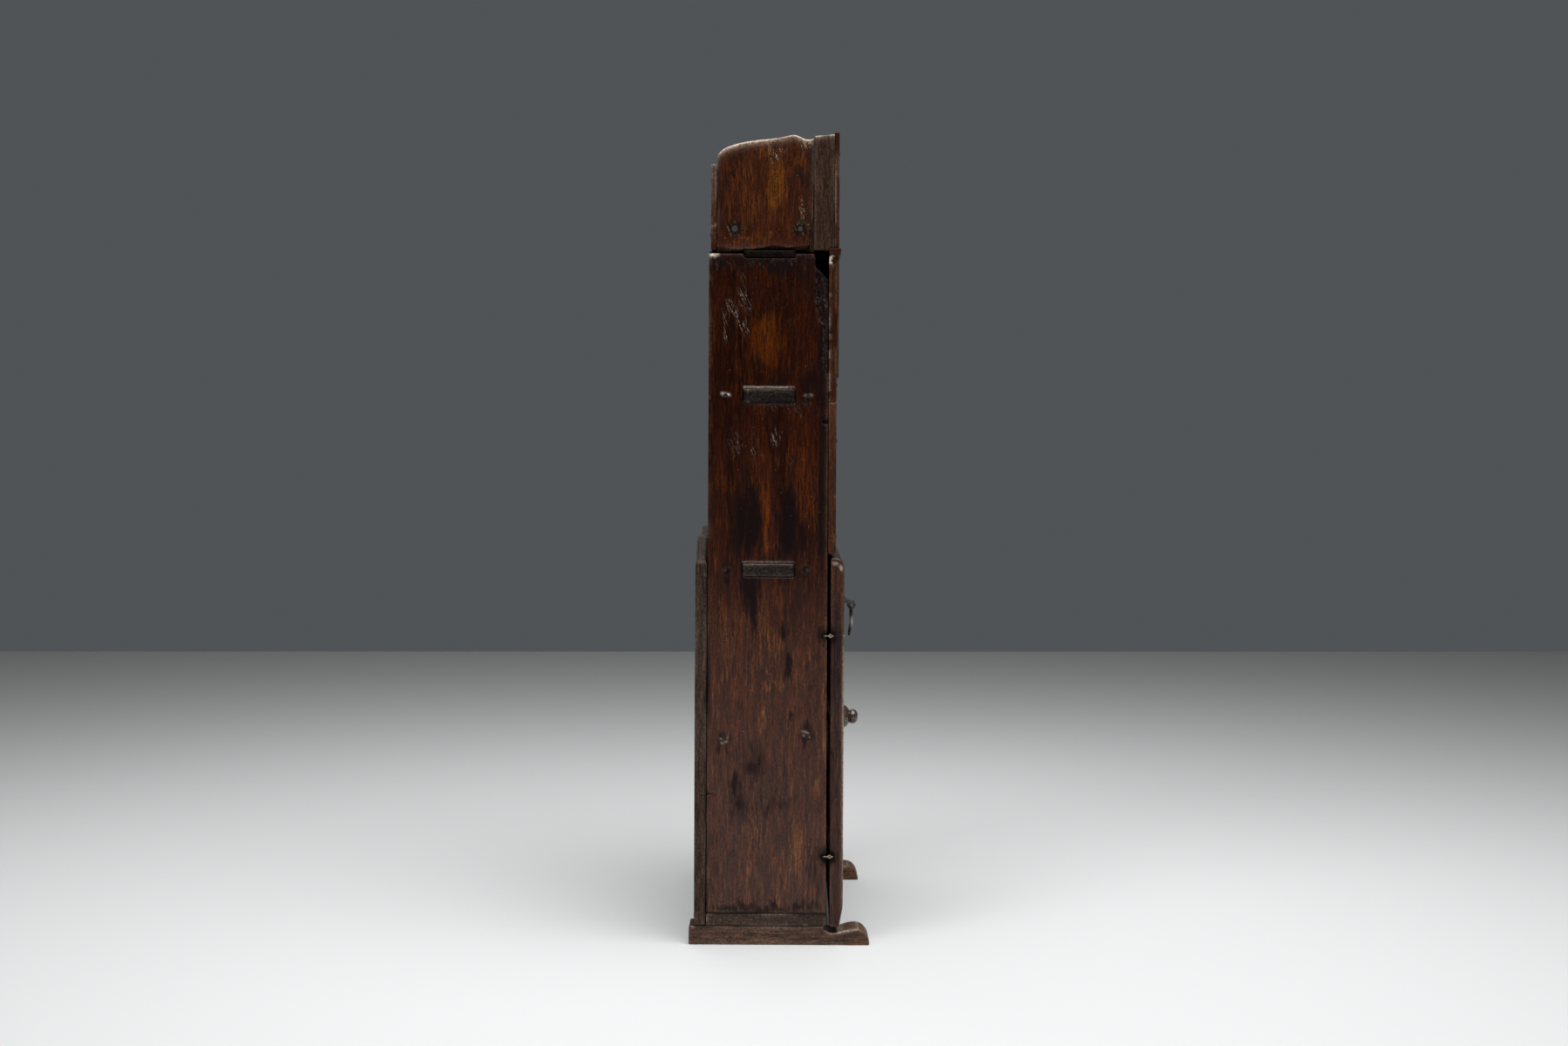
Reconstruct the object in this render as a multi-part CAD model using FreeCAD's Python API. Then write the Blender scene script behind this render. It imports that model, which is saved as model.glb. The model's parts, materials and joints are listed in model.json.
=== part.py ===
"""Tall shallow cabinet on two sled feet: lower cupboard, open niche, small upper cupboard, top gallery.

Millimetres, +Z up, front towards -Y. The origin is on the floor, under the middle of the feet.
"""
import FreeCAD, Part
import math
import os
from FreeCAD import Vector

# Case, from the floor up
case_width = 670.0
side_depth = 237.0
side_thickness = 24.0
bottom_board_thickness = 25.0
fit_gap = 0.3
overrun = 5.0

# Sled feet
foot_length = 357.0
foot_width = 68.0
foot_height = 37.0
heel_overhang = 34.3
heel_round = 4.0
toe_length = 90.5
toe_shares = ((0.00, 0.84), (0.25, 0.65), (0.45, 0.78), (0.65, 0.89), (0.82, 0.81), (0.93, 0.57),
              (1.00, 0.12))

# Shelves, the niche and the small cupboard
lower_shelf_height = 398.0
lower_shelf_thickness = 24.0
lower_shelf_setback = 8.0
waist_shelf_drop = 19.0
waist_shelf_thickness = 26.5
niche_height = 297.0
middle_shelf_thickness = 28.0
cupboard_height = 286.0
top_board_thickness = 15.5
side_top_rise = 8.5
tenon_setback = 66.0
tenon_width = 102.0
tenon_proud = 0.8

# Chip at the top front corner of the left side board
chip_depth = 26.7
chip_back_height = 24.0
chip_front_height = 52.0

# Back planks below the waist, and boards above it
plank_thickness = 24.5
plank_rise = 65.0
plank_width_shares = (0.12, 0.19, 0.16, 0.27, 0.26)
plank_top_shares = ((0.918, 0.982), (0.983, 0.978), (0.979, 0.999), (0.994, 0.986), (0.987, 0.996))
upper_back_count = 3
upper_back_thickness = 12.0

# Face frame above the lower door
face_thickness = 16.0
face_stile_width = 59.5
face_split_rise = 2.0
niche_rail_width = 44.0
cupboard_rail_drop = 2.0
cupboard_rail_width = 52.0
face_tenon_length = 20.0
face_tenon_thickness = 6.0
face_tenon_shoulder = 8.0
top_rail_rise = 6.0
top_rail_thickness = 15.0
top_rail_depth = 24.1

# Gallery on the top board
cheek_thickness = 20.0
cheek_depth = 191.8
cheek_height = 227.5
cheek_back_inset = 14.6
cheek_toe_recess = 10.0
cheek_recess_height = 60.0
cheek_lobe_drop = 3.5
cheek_top_shares = ((0.01, 0.82), (0.06, 0.87), (0.15, 0.906), (0.33, 0.944), (0.51, 0.962), (0.74, 0.992),
                    (0.80, 1.00), (0.87, 0.978), (1.00, 0.974))
gallery_back_thickness = 11.0
gallery_back_height = 169.0
post_width = 45.0
post_depth = 41.2
post_height = 229.0
post_back_rise = 4.0
fascia_thickness = 9.3
fascia_height = 228.0
cleat_width = 28.0
cleat_height = 60.0
cleat_length = 160.0
cleat_back_inset = 25.0

# Lower door, drawn parallel to the front and then left a little ajar
door_gap = 6.0
door_thickness = 27.0
door_bottom_height = 35.5
door_top_height = 763.0
door_head_gap = 8.0
door_ajar_angle = 0.4
door_stile_width = 105.0
door_top_rail_height = 95.0
door_mid_rail_height = 90.0
door_bottom_rail_height = 110.0
door_mid_rail_centre_height = 377.0
door_top_round = 18.0
door_foot_taper_depth = 7.7
door_foot_taper_height = 42.0
door_back_arris = 2.5
door_front_arris = 5.0
door_tenon_length = 35.0
door_tenon_thickness = 9.0
door_tenon_shoulder = 14.0
panel_thickness = 8.0
panel_groove = 8.0
panel_field_rise = 5.0
panel_bevel_width = 32.0
peg_radius = 4.0
peg_proud = 0.6
peg_spread_share = 0.5
peg_setback = 16.0

# Wire-eye hinges of the lower door
hinge_bottom_inset = 138.5
hinge_top_inset = 154.0
hinge_edge_clearance = 0.3
eye_ring_radius = 3.0
eye_wire_radius = 0.85
eye_running_gap = 0.35
eye_shank_radius = 1.1
eye_shank_length = 35.0
eye_clench_length = 12.0
hinge_notch_reach = 11.0
hinge_notch_depth = 20.0

# Bail handle and its two eyes
handle_inset = 63.0
bail_eye_drop = 136.0
bail_eye_standoff = 30.1
bail_eye_spacing = 62.0
bail_eye_ring_radius = 7.6
bail_eye_wire_radius = 1.6
bail_shank_rise = 24.0
bail_shank_root_radius = 12.0
bail_shank_tip_radius = 2.2
bail_bolt_radius = 2.0
bail_radius = 3.3
bail_drop = 65.0
bail_arm_inset = 6.0
bail_end_reach = 6.0
bail_end_radius = 4.0
bail_shoulder_drop = 40.0
bail_shoulder_bulge = 2.0
bail_grip_inset = 7.0
bail_grip_slant = 4.0
bail_bend_radius = 5.0

# Turned knob that works the wooden latch tongue
knob_drop = 26.0
knob_base_radius = 27.0
knob_length = 44.8
knob_dome_shares = ((1.00, 0.27), (0.945, 0.34), (0.87, 0.42), (0.70, 0.525), (0.50, 0.59))
knob_head_shares = ((0.50, 0.60), (0.585, 0.66), (0.60, 0.76), (0.575, 0.87), (0.44, 0.965), (0.00, 1.00))
knob_shank_radius = 7.0
tongue_standoff = 28.5
tongue_thickness = 10.0
tongue_width = 22.0
tongue_reach = 33.0
keeper_width = 20.0
keeper_depth = 16.0
keeper_height = 50.0

# Upper door on two iron pivots
upper_door_proud = 6.0
upper_door_back_gap = 0.5
upper_door_height_gap = 1.5
upper_door_pivot_gap = 2.5
upper_door_free_gap = 2.0
upper_door_stile_width = 60.0
upper_door_rail_height = 50.0
upper_door_hinge_round = 10.0
upper_door_arris = 3.0
upper_tenon_length = 30.0
upper_tenon_thickness = 7.0
upper_tenon_shoulder = 10.0
upper_panel_thickness = 7.0
upper_field_rise = 4.0
upper_bevel_width = 24.0
pivot_side_inset = 10.0
pivot_front_inset = 11.5
pivot_radius = 3.0
pivot_depth_in_rail = 11.0
pivot_depth_in_door = 14.0

# Turn button of the upper door
button_rise = 1.0
button_outset = 17.0
button_width = 14.0
button_half_length = 26.0
button_thickness = 8.0
button_boss_radius = 6.5
button_nail_radius = 2.0
button_nail_head_radius = 4.5
button_nail_head_thickness = 1.5
button_nail_depth = 13.0

# Nails and pegs
nail_radius = 2.0
nail_length = 44.0
nail_head_radius = 4.5
nail_head_proud = 1.1
nail_head_sunk = 1.1
small_nail_length = 26.0
side_nail_front_share = 0.168
side_nail_back_share = 0.857
face_nail_shares = (0.12, 0.75)
upper_back_nail_shares = (0.25, 0.75)
gallery_nail_shares = (0.18, 0.82)
cheek_peg_length = 40.0
cheek_back_peg_radius = 6.5
cheek_front_peg_radius = 5.0
cheek_peg_proud = 0.9
cheek_peg_height = 41.5
cheek_peg_shares = (0.188, 0.861)

# Heights above the floor, each that of the underside unless it says top
face_bottom_height = door_top_height + door_head_gap
niche_rail_top_height = face_bottom_height + niche_rail_width
waist_shelf_height = face_bottom_height - waist_shelf_drop - waist_shelf_thickness
middle_shelf_height = face_bottom_height + niche_height
face_split_height = middle_shelf_height + face_split_rise
cupboard_rail_bottom_height = middle_shelf_height - cupboard_rail_drop
cupboard_rail_top_height = cupboard_rail_bottom_height + cupboard_rail_width
top_board_height = middle_shelf_height + cupboard_height
top_rail_bottom_height = top_board_height + top_rail_rise
hinge_heights = (door_bottom_height + hinge_bottom_inset, door_top_height - hinge_top_inset)
bail_eye_height = door_top_height - bail_eye_drop
knob_height = lower_shelf_height - knob_drop

# Planes and lines that the pieces share
half_width = case_width / 2
inner_half = half_width - side_thickness
heel_y = foot_length / 2
back_y = heel_y - heel_overhang
front_y = back_y - side_depth
side_bottom_z = foot_height + bottom_board_thickness
side_top_z = top_board_height + side_top_rise
tenon_front_y = front_y + tenon_setback
tenon_back_y = tenon_front_y + tenon_width
upper_back_y = back_y - upper_back_thickness
waist_top_z = waist_shelf_height + waist_shelf_thickness
plank_height = waist_top_z + plank_rise - foot_height
gallery_z = top_board_height + top_board_thickness
face_y = front_y - face_thickness
opening_half = half_width - face_stile_width
top_rail_z = top_rail_bottom_height + top_rail_thickness
top_rail_front_y = front_y - top_rail_depth
cheek_back_y = back_y - cheek_back_inset
cheek_front_y = cheek_back_y - cheek_depth
post_front_y = cheek_front_y - post_depth

door_inner_y = front_y - door_gap
door_outer_y = door_inner_y - door_thickness
door_stile_edge = half_width - door_stile_width
hinge_x = -half_width + door_gap / 2 - hinge_edge_clearance
hinge_y = front_y - door_gap / 2
eye_offset = eye_ring_radius - 2 * eye_wire_radius - eye_running_gap
handle_x = half_width - handle_inset

upper_door_left = -opening_half + upper_door_pivot_gap
upper_door_right = opening_half - upper_door_free_gap
upper_door_front_y = face_y - upper_door_proud
upper_door_back_y = front_y - upper_door_back_gap
upper_door_bottom_z = cupboard_rail_top_height + upper_door_height_gap
upper_door_top_z = top_rail_bottom_height - upper_door_height_gap
button_z = (upper_door_bottom_z + upper_door_top_z) / 2 + button_rise
pivot_x = upper_door_left + pivot_side_inset
pivot_y = upper_door_front_y + pivot_front_inset

parts = {}


def block(xs, ys, zs):
    """Box between two values on each axis, given in either order."""
    sizes = [abs(b - a) for a, b in (xs, ys, zs)]
    corner = Vector(min(xs), min(ys), min(zs))
    return Part.makeBox(*sizes, corner)


def rod(start, direction, radius, length):
    return Part.makeCylinder(radius, length, start, direction)


def extrude(edges, along):
    return Part.Face(Part.Wire(edges)).extrude(along)


def lines(points, closed=False):
    """Straight edges through the points."""
    ends = points[1:] + points[:1] if closed else points[1:]
    return [Part.LineSegment(a, b).toShape() for a, b in zip(points, ends)]


def curve(points):
    """One smooth edge through the points."""
    spline = Part.BSplineCurve()
    spline.interpolate(points)
    return spline.toShape()


def join(shapes):
    whole = shapes[0].multiFuse(shapes[1:])
    return whole.removeSplitter()


def cut_from(names, tool):
    for name in names:
        parts[name] = parts[name].cut(tool)


def swing_ajar(shape):
    """Turn a piece of the lower door about its hinges, from parallel to its resting place."""
    turned = shape.copy()
    turned.rotate(Vector(hinge_x, hinge_y, 0), Vector(0, 0, 1), -door_ajar_angle)
    return turned


def sled_foot(side):
    """Sled foot with a flat top under the case, a dip in front of the door and a raised round toe."""
    x_outer = side * half_width
    toe_root_y = toe_length - heel_y
    toe = [Vector(x_outer, toe_root_y - toe_length * y, foot_height * z) for y, z in toe_shares]
    tip = Vector(x_outer, -heel_y, 0)
    heel_bottom = Vector(x_outer, heel_y, 0)
    heel_side = Vector(x_outer, heel_y, foot_height - heel_round)
    heel_top = Vector(x_outer, heel_y - heel_round, foot_height)
    heel_shoulder = heel_round * math.sqrt(2) / 2
    heel_flat = heel_round - heel_shoulder
    heel_middle = Vector(x_outer, heel_y - heel_flat, foot_height - heel_flat)
    step_top = Vector(x_outer, toe_root_y, foot_height)
    edges = [curve(toe)]
    edges += lines([toe[-1], tip, heel_bottom, heel_side])
    edges.append(Part.Arc(heel_side, heel_middle, heel_top).toShape())
    edges += lines([heel_top, step_top, toe[0]])
    return extrude(edges, Vector(-side * foot_width, 0, 0))


def side_board(side):
    """Side board, with the chip in the top front corner of the left one."""
    body = block((side * half_width, side * inner_half), (front_y, back_y), (side_bottom_z, side_top_z))
    if side > 0:
        return body
    x_outer = -half_width - overrun
    chip = [Vector(x_outer, front_y - overrun, side_top_z + overrun),
            Vector(x_outer, front_y + chip_depth, side_top_z + overrun),
            Vector(x_outer, front_y + chip_depth, side_top_z - chip_back_height),
            Vector(x_outer, front_y, side_top_z - chip_front_height),
            Vector(x_outer, front_y - overrun, side_top_z - chip_front_height)]
    return body.cut(extrude(lines(chip, True), Vector(side_thickness + 2 * overrun, 0, 0)))


def tenoned_board(z, thickness, y_back):
    """Board between the sides whose two end tenons pass through them."""
    tenon_x = half_width + tenon_proud
    body = block((-inner_half, inner_half), (front_y, y_back), (z, z + thickness))
    tenons = block((-tenon_x, tenon_x), (tenon_front_y, tenon_back_y), (z, z + thickness))
    return join([body, tenons])


def case_boards():
    for name, side in (("left", -1), ("right", 1)):
        parts["foot_" + name] = sled_foot(side)
        parts["side_board_" + name] = side_board(side)
    parts["bottom_board"] = block((-half_width, half_width), (front_y, back_y), (foot_height, side_bottom_z))
    lower_top = lower_shelf_height + lower_shelf_thickness
    parts["lower_shelf"] = block((-inner_half, inner_half), (front_y + lower_shelf_setback, back_y),
                                 (lower_shelf_height, lower_top))
    parts["waist_shelf"] = tenoned_board(waist_shelf_height, waist_shelf_thickness, back_y)
    parts["middle_shelf"] = tenoned_board(middle_shelf_height, middle_shelf_thickness, upper_back_y)
    parts["top_board"] = tenoned_board(top_board_height, top_board_thickness, back_y)
    for shelf in ("waist_shelf", "middle_shelf", "top_board"):
        cut_from(("side_board_left", "side_board_right"), parts[shelf])


def back_boards():
    """Upright planks behind the lower case, with uneven tops, and boards between the sides above."""
    x = -half_width
    for number, (width_share, tops) in enumerate(zip(plank_width_shares, plank_top_shares), 1):
        x_next = x + case_width * width_share
        left_z, right_z = [foot_height + plank_height * share for share in tops]
        outline = [Vector(x, back_y, foot_height), Vector(x_next, back_y, foot_height),
                   Vector(x_next, back_y, right_z), Vector(x, back_y, left_z)]
        parts["back_plank_%d" % number] = extrude(lines(outline, True), Vector(0, plank_thickness, 0))
        x = x_next
    width = 2 * inner_half / upper_back_count
    for number in range(upper_back_count):
        x = -inner_half + number * width
        name = "upper_back_board_%d" % (number + 1)
        parts[name] = block((x, x + width), (upper_back_y, back_y), (waist_top_z, top_board_height))


def face_rail(z_bottom, z_top):
    """Rail between the face stiles, with a stub tenon at each end."""
    middle_y = (front_y + face_y) / 2
    half_tenon = face_tenon_thickness / 2
    tenon_x = opening_half + face_tenon_length
    body = block((-opening_half, opening_half), (face_y, front_y), (z_bottom, z_top))
    tenons = block((-tenon_x, tenon_x), (middle_y - half_tenon, middle_y + half_tenon),
                   (z_bottom + face_tenon_shoulder, z_top - face_tenon_shoulder))
    return join([body, tenons])


def face_frame():
    parts["niche_rail"] = face_rail(face_bottom_height, niche_rail_top_height)
    parts["cupboard_rail"] = face_rail(cupboard_rail_bottom_height, cupboard_rail_top_height)
    for name, side in (("left", -1), ("right", 1)):
        xs = (side * half_width, side * opening_half)
        lengths = (("lower", face_bottom_height, face_split_height),
                   ("upper", face_split_height, top_rail_bottom_height))
        for length_name, z_bottom, z_top in lengths:
            stile = block(xs, (face_y, front_y), (z_bottom, z_top))
            stile = stile.cut(parts["niche_rail"]).cut(parts["cupboard_rail"])
            parts["face_stile_%s_%s" % (name, length_name)] = stile
    parts["top_rail"] = block((-half_width, half_width), (top_rail_front_y, front_y),
                              (top_rail_bottom_height, top_rail_z))


def gallery_cheek(side):
    """Shaped end of the gallery: a rising top edge, and lobes below where it clears the side board."""
    x_outer = side * half_width
    top = [Vector(x_outer, cheek_back_y - cheek_depth * y, gallery_z + cheek_height * z)
           for y, z in cheek_top_shares]
    front_top = top[-1]
    front_low = Vector(x_outer, cheek_front_y, gallery_z + cheek_recess_height)
    front_bottom = Vector(x_outer, cheek_front_y + cheek_toe_recess, gallery_z + cheek_lobe_drop)
    tenon_front = Vector(x_outer, tenon_front_y, gallery_z)
    tenon_back = Vector(x_outer, tenon_back_y, gallery_z)
    lobe = Vector(x_outer, (tenon_back_y + cheek_back_y) / 2, gallery_z - cheek_lobe_drop)
    back_bottom = Vector(x_outer, cheek_back_y, gallery_z)
    edges = [curve(top)]
    edges += lines([front_top, front_low, front_bottom, tenon_front, tenon_back])
    edges.append(Part.Arc(tenon_back, lobe, back_bottom).toShape())
    edges += lines([back_bottom, top[0]])
    return extrude(edges, Vector(-side * cheek_thickness, 0, 0))


def gallery_post(side):
    """Front corner post, a little higher at the front, notched over the top rail."""
    x_outer = side * half_width
    outline = [Vector(x_outer, cheek_front_y, gallery_z), Vector(x_outer, post_front_y, gallery_z),
               Vector(x_outer, post_front_y, gallery_z + post_height),
               Vector(x_outer, cheek_front_y, gallery_z + post_height - post_back_rise)]
    post = extrude(lines(outline, True), Vector(-side * post_width, 0, 0))
    return post.cut(parts["top_rail"])


def gallery():
    for name, side in (("left", -1), ("right", 1)):
        parts["gallery_cheek_" + name] = gallery_cheek(side)
        parts["gallery_post_" + name] = gallery_post(side)
    xs = (-half_width, half_width)
    parts["gallery_back"] = block(xs, (cheek_back_y, cheek_back_y + gallery_back_thickness),
                                  (gallery_z, gallery_z + gallery_back_height))
    parts["gallery_fascia"] = block(xs, (post_front_y - fascia_thickness, post_front_y),
                                    (top_rail_z, top_rail_z + fascia_height))
    cleat_back_y = cheek_back_y - cleat_back_inset
    cleat_outer = half_width - cheek_thickness
    cleats = [block((side * cleat_outer, side * (cleat_outer - cleat_width)),
                    (cleat_back_y - cleat_length, cleat_back_y), (gallery_z, gallery_z + cleat_height))
              for side in (-1, 1)]
    parts["gallery_cleats"] = Part.makeCompound(cleats)


def bend(before, corner, after, radius):
    """Start, middle and end of the arc that rounds a corner."""
    to_before = (before - corner).normalize()
    to_after = (after - corner).normalize()
    half_angle = to_before.getAngle(to_after) / 2
    reach = radius / math.tan(half_angle)
    inward = (to_before + to_after).normalize()
    middle = corner + inward * (radius / math.sin(half_angle) - radius)
    return corner + to_before * reach, middle, corner + to_after * reach


def rounded_path(points, radii, closed=False):
    """Straight edges through the points, with an arc at each corner."""
    count = len(points)
    corners = range(count) if closed else range(1, count - 1)
    arcs = {i: bend(points[i - 1], points[i], points[(i + 1) % count], radii[i]) for i in corners}
    edges = []
    for i in range(count if closed else count - 1):
        j = (i + 1) % count
        start = arcs[i][2] if i in arcs else points[i]
        end = arcs[j][0] if j in arcs else points[j]
        edges.append(Part.LineSegment(start, end).toShape())
        if j in arcs:
            edges.append(Part.Arc(*arcs[j]).toShape())
    return edges


def rounded_block(xs, ys, zs, radii):
    """Upright block with rounded vertical arrises: left back, left front, right front, right back."""
    front, back = ys
    corners = [Vector(xs[0], back, zs[0]), Vector(xs[0], front, zs[0]),
               Vector(xs[1], front, zs[0]), Vector(xs[1], back, zs[0])]
    return extrude(rounded_path(corners, radii, True), Vector(0, 0, zs[1] - zs[0]))


def rail_tenons(xs, ys, zs, length, thickness, shoulder):
    middle_y = (ys[0] + ys[1]) / 2
    half = thickness / 2
    return block((xs[0] - length, xs[1] + length), (middle_y - half, middle_y + half),
                 (zs[0] + shoulder, zs[1] - shoulder))


def fielded_panel(xs, zs, ys, groove, plate, rise, bevel):
    """Panel whose thin edge sits in grooves and whose field rises towards the front in bevels."""
    middle_y = (ys[0] + ys[1]) / 2
    front = middle_y - plate / 2
    edge = block((xs[0] - groove, xs[1] + groove), (front, front + plate), (zs[0] - groove, zs[1] + groove))
    loops = []
    for inset, y in ((0, front), (bevel, front - rise)):
        x_low, x_high = xs[0] + inset, xs[1] - inset
        z_low, z_high = zs[0] + inset, zs[1] - inset
        corners = [Vector(x_low, y, z_low), Vector(x_high, y, z_low), Vector(x_high, y, z_high),
                   Vector(x_low, y, z_high)]
        loops.append(Part.Wire(lines(corners, True)))
    return join([edge, Part.makeLoft(loops, True)])


def panelled_door(prefix, slab, xs, ys, zs, stile_width, rails, tenon, panel):
    """Split a door slab into stiles, rails and panels, and return the names made.

    rails holds (name, bottom, top) from the bottom up, and tenon its length, thickness and shoulder.
    panel holds the groove depth, plate thickness, rise of the field and width of the bevel.
    """
    inner_xs = (xs[0] + stile_width, xs[1] - stile_width)
    names = []
    for name, z_low, z_high in rails:
        body = slab.common(block(inner_xs, ys, (z_low, z_high)))
        parts[prefix + name] = join([body, rail_tenons(inner_xs, ys, (z_low, z_high), *tenon)])
        names.append(prefix + name)
    rail_names = list(names)
    for number, (below, above) in enumerate(zip(rails, rails[1:]), 1):
        name = "%spanel_%d" % (prefix, number)
        parts[name] = fielded_panel(inner_xs, (below[2], above[1]), ys, *panel)
        cut_from(rail_names, parts[name])
        names.append(name)
    fillers = Part.makeCompound([parts[name] for name in names])
    for name, stile_xs in (("hinge_stile", (xs[0], inner_xs[0])), ("lock_stile", (inner_xs[1], xs[1]))):
        parts[prefix + name] = slab.common(block(stile_xs, ys, zs)).cut(fillers)
        names.append(prefix + name)
    return names


def lower_door_slab(xs, ys, zs):
    """Door outline: rounded along the front of the top edge, tapered at the foot, with soft arrises."""
    shoulder = door_top_round * (1 - math.sqrt(2) / 2)
    round_start = Vector(xs[0], door_outer_y + door_top_round, zs[1])
    round_middle = Vector(xs[0], door_outer_y + shoulder, zs[1] - shoulder)
    round_end = Vector(xs[0], door_outer_y, zs[1] - door_top_round)
    taper_top = Vector(xs[0], door_outer_y, zs[0] + door_foot_taper_height)
    taper_bottom = Vector(xs[0], door_outer_y + door_foot_taper_depth, zs[0])
    inner_bottom = Vector(xs[0], door_inner_y, zs[0])
    inner_top = Vector(xs[0], door_inner_y, zs[1])
    edges = [Part.Arc(round_start, round_middle, round_end).toShape()]
    edges += lines([round_end, taper_top, taper_bottom, inner_bottom, inner_top, round_start])
    profile = extrude(edges, Vector(xs[1] - xs[0], 0, 0))
    radii = (door_back_arris, door_front_arris, door_front_arris, door_back_arris)
    return profile.common(rounded_block(xs, ys, zs, radii))


def lower_door():
    """Frame, two panels and pegs of the lower door; returns the names made."""
    xs = (-half_width, half_width)
    ys = (door_outer_y, door_inner_y)
    zs = (door_bottom_height, door_top_height)
    half_mid = door_mid_rail_height / 2
    rails = (("bottom_rail", zs[0], zs[0] + door_bottom_rail_height),
             ("mid_rail", door_mid_rail_centre_height - half_mid, door_mid_rail_centre_height + half_mid),
             ("top_rail", zs[1] - door_top_rail_height, zs[1]))
    names = panelled_door("lower_door_", lower_door_slab(xs, ys, zs), xs, ys, zs, door_stile_width, rails,
                          (door_tenon_length, door_tenon_thickness, door_tenon_shoulder),
                          (panel_groove, panel_thickness, panel_field_rise, panel_bevel_width))
    pegs = []
    for name, z_low, z_high in rails:
        spread = (z_high - z_low) * peg_spread_share / 2
        for side in (-1, 1):
            x = side * (door_stile_edge + peg_setback)
            for z in ((z_low + z_high) / 2 - spread, (z_low + z_high) / 2 + spread):
                start = Vector(x, door_outer_y - peg_proud, z)
                pegs.append(rod(start, Vector(0, 1, 0), peg_radius, door_thickness + peg_proud))
    parts["lower_door_pegs"] = Part.makeCompound(pegs)
    cut_from(names, parts["lower_door_pegs"])
    return names + ["lower_door_pegs"]


def eye_ring(centre, axis, shank_start, shank_direction, shank_length):
    ring = Part.makeTorus(eye_ring_radius, eye_wire_radius, centre, axis)
    return join([ring, rod(shank_start, shank_direction, eye_shank_radius, shank_length)])


def lower_hinges():
    """Two pairs of linked wire eyes in notches: the case eyes lie flat, the door eyes stand upright."""
    x_outer = -half_width - overrun
    tips = ((-hinge_notch_reach, 0), (0, hinge_notch_reach), (hinge_notch_reach, 0), (0, -hinge_notch_reach))
    case_eyes = []
    door_eyes = []
    for z in hinge_heights:
        outline = [Vector(x_outer, hinge_y + y, z + rise) for y, rise in tips]
        notch = extrude(lines(outline, closed=True), Vector(overrun + hinge_notch_depth, 0, 0))
        cut_from(["side_board_left", "lower_door_hinge_stile"], notch)
        case_x = hinge_x + eye_offset
        case_eyes.append(eye_ring(Vector(case_x, hinge_y, z), Vector(0, 0, 1),
                                  Vector(case_x, hinge_y + eye_ring_radius, z), Vector(0, 1, 0),
                                  eye_shank_length))
        shank_y = hinge_y - 2 * eye_ring_radius
        eye = eye_ring(Vector(hinge_x, hinge_y - eye_ring_radius, z), Vector(1, 0, 0),
                       Vector(hinge_x, shank_y, z), Vector(0, -1, 0), shank_y - door_outer_y)
        clench = rod(Vector(hinge_x, door_outer_y, z), Vector(1, 0, 0), eye_wire_radius, eye_clench_length)
        door_eyes.append(join([eye, clench]))
    parts["case_hinge_eyes"] = Part.makeCompound(case_eyes)
    parts["lower_door_hinge_eyes"] = Part.makeCompound(door_eyes)
    cut_from(["side_board_left"], parts["case_hinge_eyes"])
    cut_from(["lower_door_hinge_stile"], parts["lower_door_hinge_eyes"])
    return ["lower_door_hinge_eyes"]


def bail_eye(x):
    """Ring on a tapered shank that slopes up to the door, with a bolt through the stile."""
    ring_y = door_outer_y - bail_eye_standoff
    ring = Part.makeTorus(bail_eye_ring_radius, bail_eye_wire_radius, Vector(x, ring_y, bail_eye_height),
                          Vector(1, 0, 0))
    diagonal = bail_eye_ring_radius * math.sqrt(2) / 2
    tip = Vector(x, ring_y + diagonal, bail_eye_height + diagonal)
    root = Vector(x, door_outer_y + bail_shank_root_radius, bail_eye_height + bail_shank_rise)
    slope = tip - root
    shank = Part.makeCone(bail_shank_root_radius, bail_shank_tip_radius, slope.Length, root, slope)
    behind_face = block((-half_width, half_width), (door_outer_y, door_inner_y),
                        (door_bottom_height, door_top_height))
    bolt_start = Vector(x, door_outer_y, bail_eye_height + bail_shank_rise)
    bolt = rod(bolt_start, Vector(0, 1, 0), bail_bolt_radius, door_thickness)
    return join([ring, shank.cut(behind_face), bolt])


def bail_handle():
    """Bail whose two pins rest in the eyes; its grip hangs slightly towards the door."""
    pin_drop = bail_eye_ring_radius - bail_eye_wire_radius - bail_radius - fit_gap
    pin_y = door_outer_y - bail_eye_standoff
    pin_z = bail_eye_height - pin_drop
    half_span = bail_eye_spacing / 2
    arm = half_span - bail_arm_inset
    places = ((half_span + bail_end_reach, 0, 0), (arm, 0, 0),
              (arm + bail_shoulder_bulge, 0, bail_shoulder_drop),
              (arm - bail_grip_inset, bail_grip_slant, bail_drop))
    left = [Vector(handle_x - out, pin_y + slant, pin_z - drop) for out, slant, drop in places]
    right = [Vector(handle_x + out, pin_y + slant, pin_z - drop) for out, slant, drop in reversed(places)]
    points = left + right
    path = Part.Wire(rounded_path(points, [bail_bend_radius] * len(points)))
    section = Part.Wire(Part.Circle(points[0], Vector(1, 0, 0), bail_radius).toShape())
    grip = path.makePipeShell([section], True, False)
    ends = [Part.makeSphere(bail_end_radius, end, Vector(1, 0, 0)) for end in (points[0], points[-1])]
    return join([grip] + ends)


def handle():
    """Bail and its eyes on the lock stile; returns the names made."""
    eyes = [bail_eye(handle_x + side * bail_eye_spacing / 2) for side in (-1, 1)]
    parts["bail_eyes"] = Part.makeCompound(eyes)
    cut_from(["lower_door_lock_stile"], parts["bail_eyes"])
    parts["bail_handle"] = bail_handle()
    return ["bail_eyes", "bail_handle"]


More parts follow.
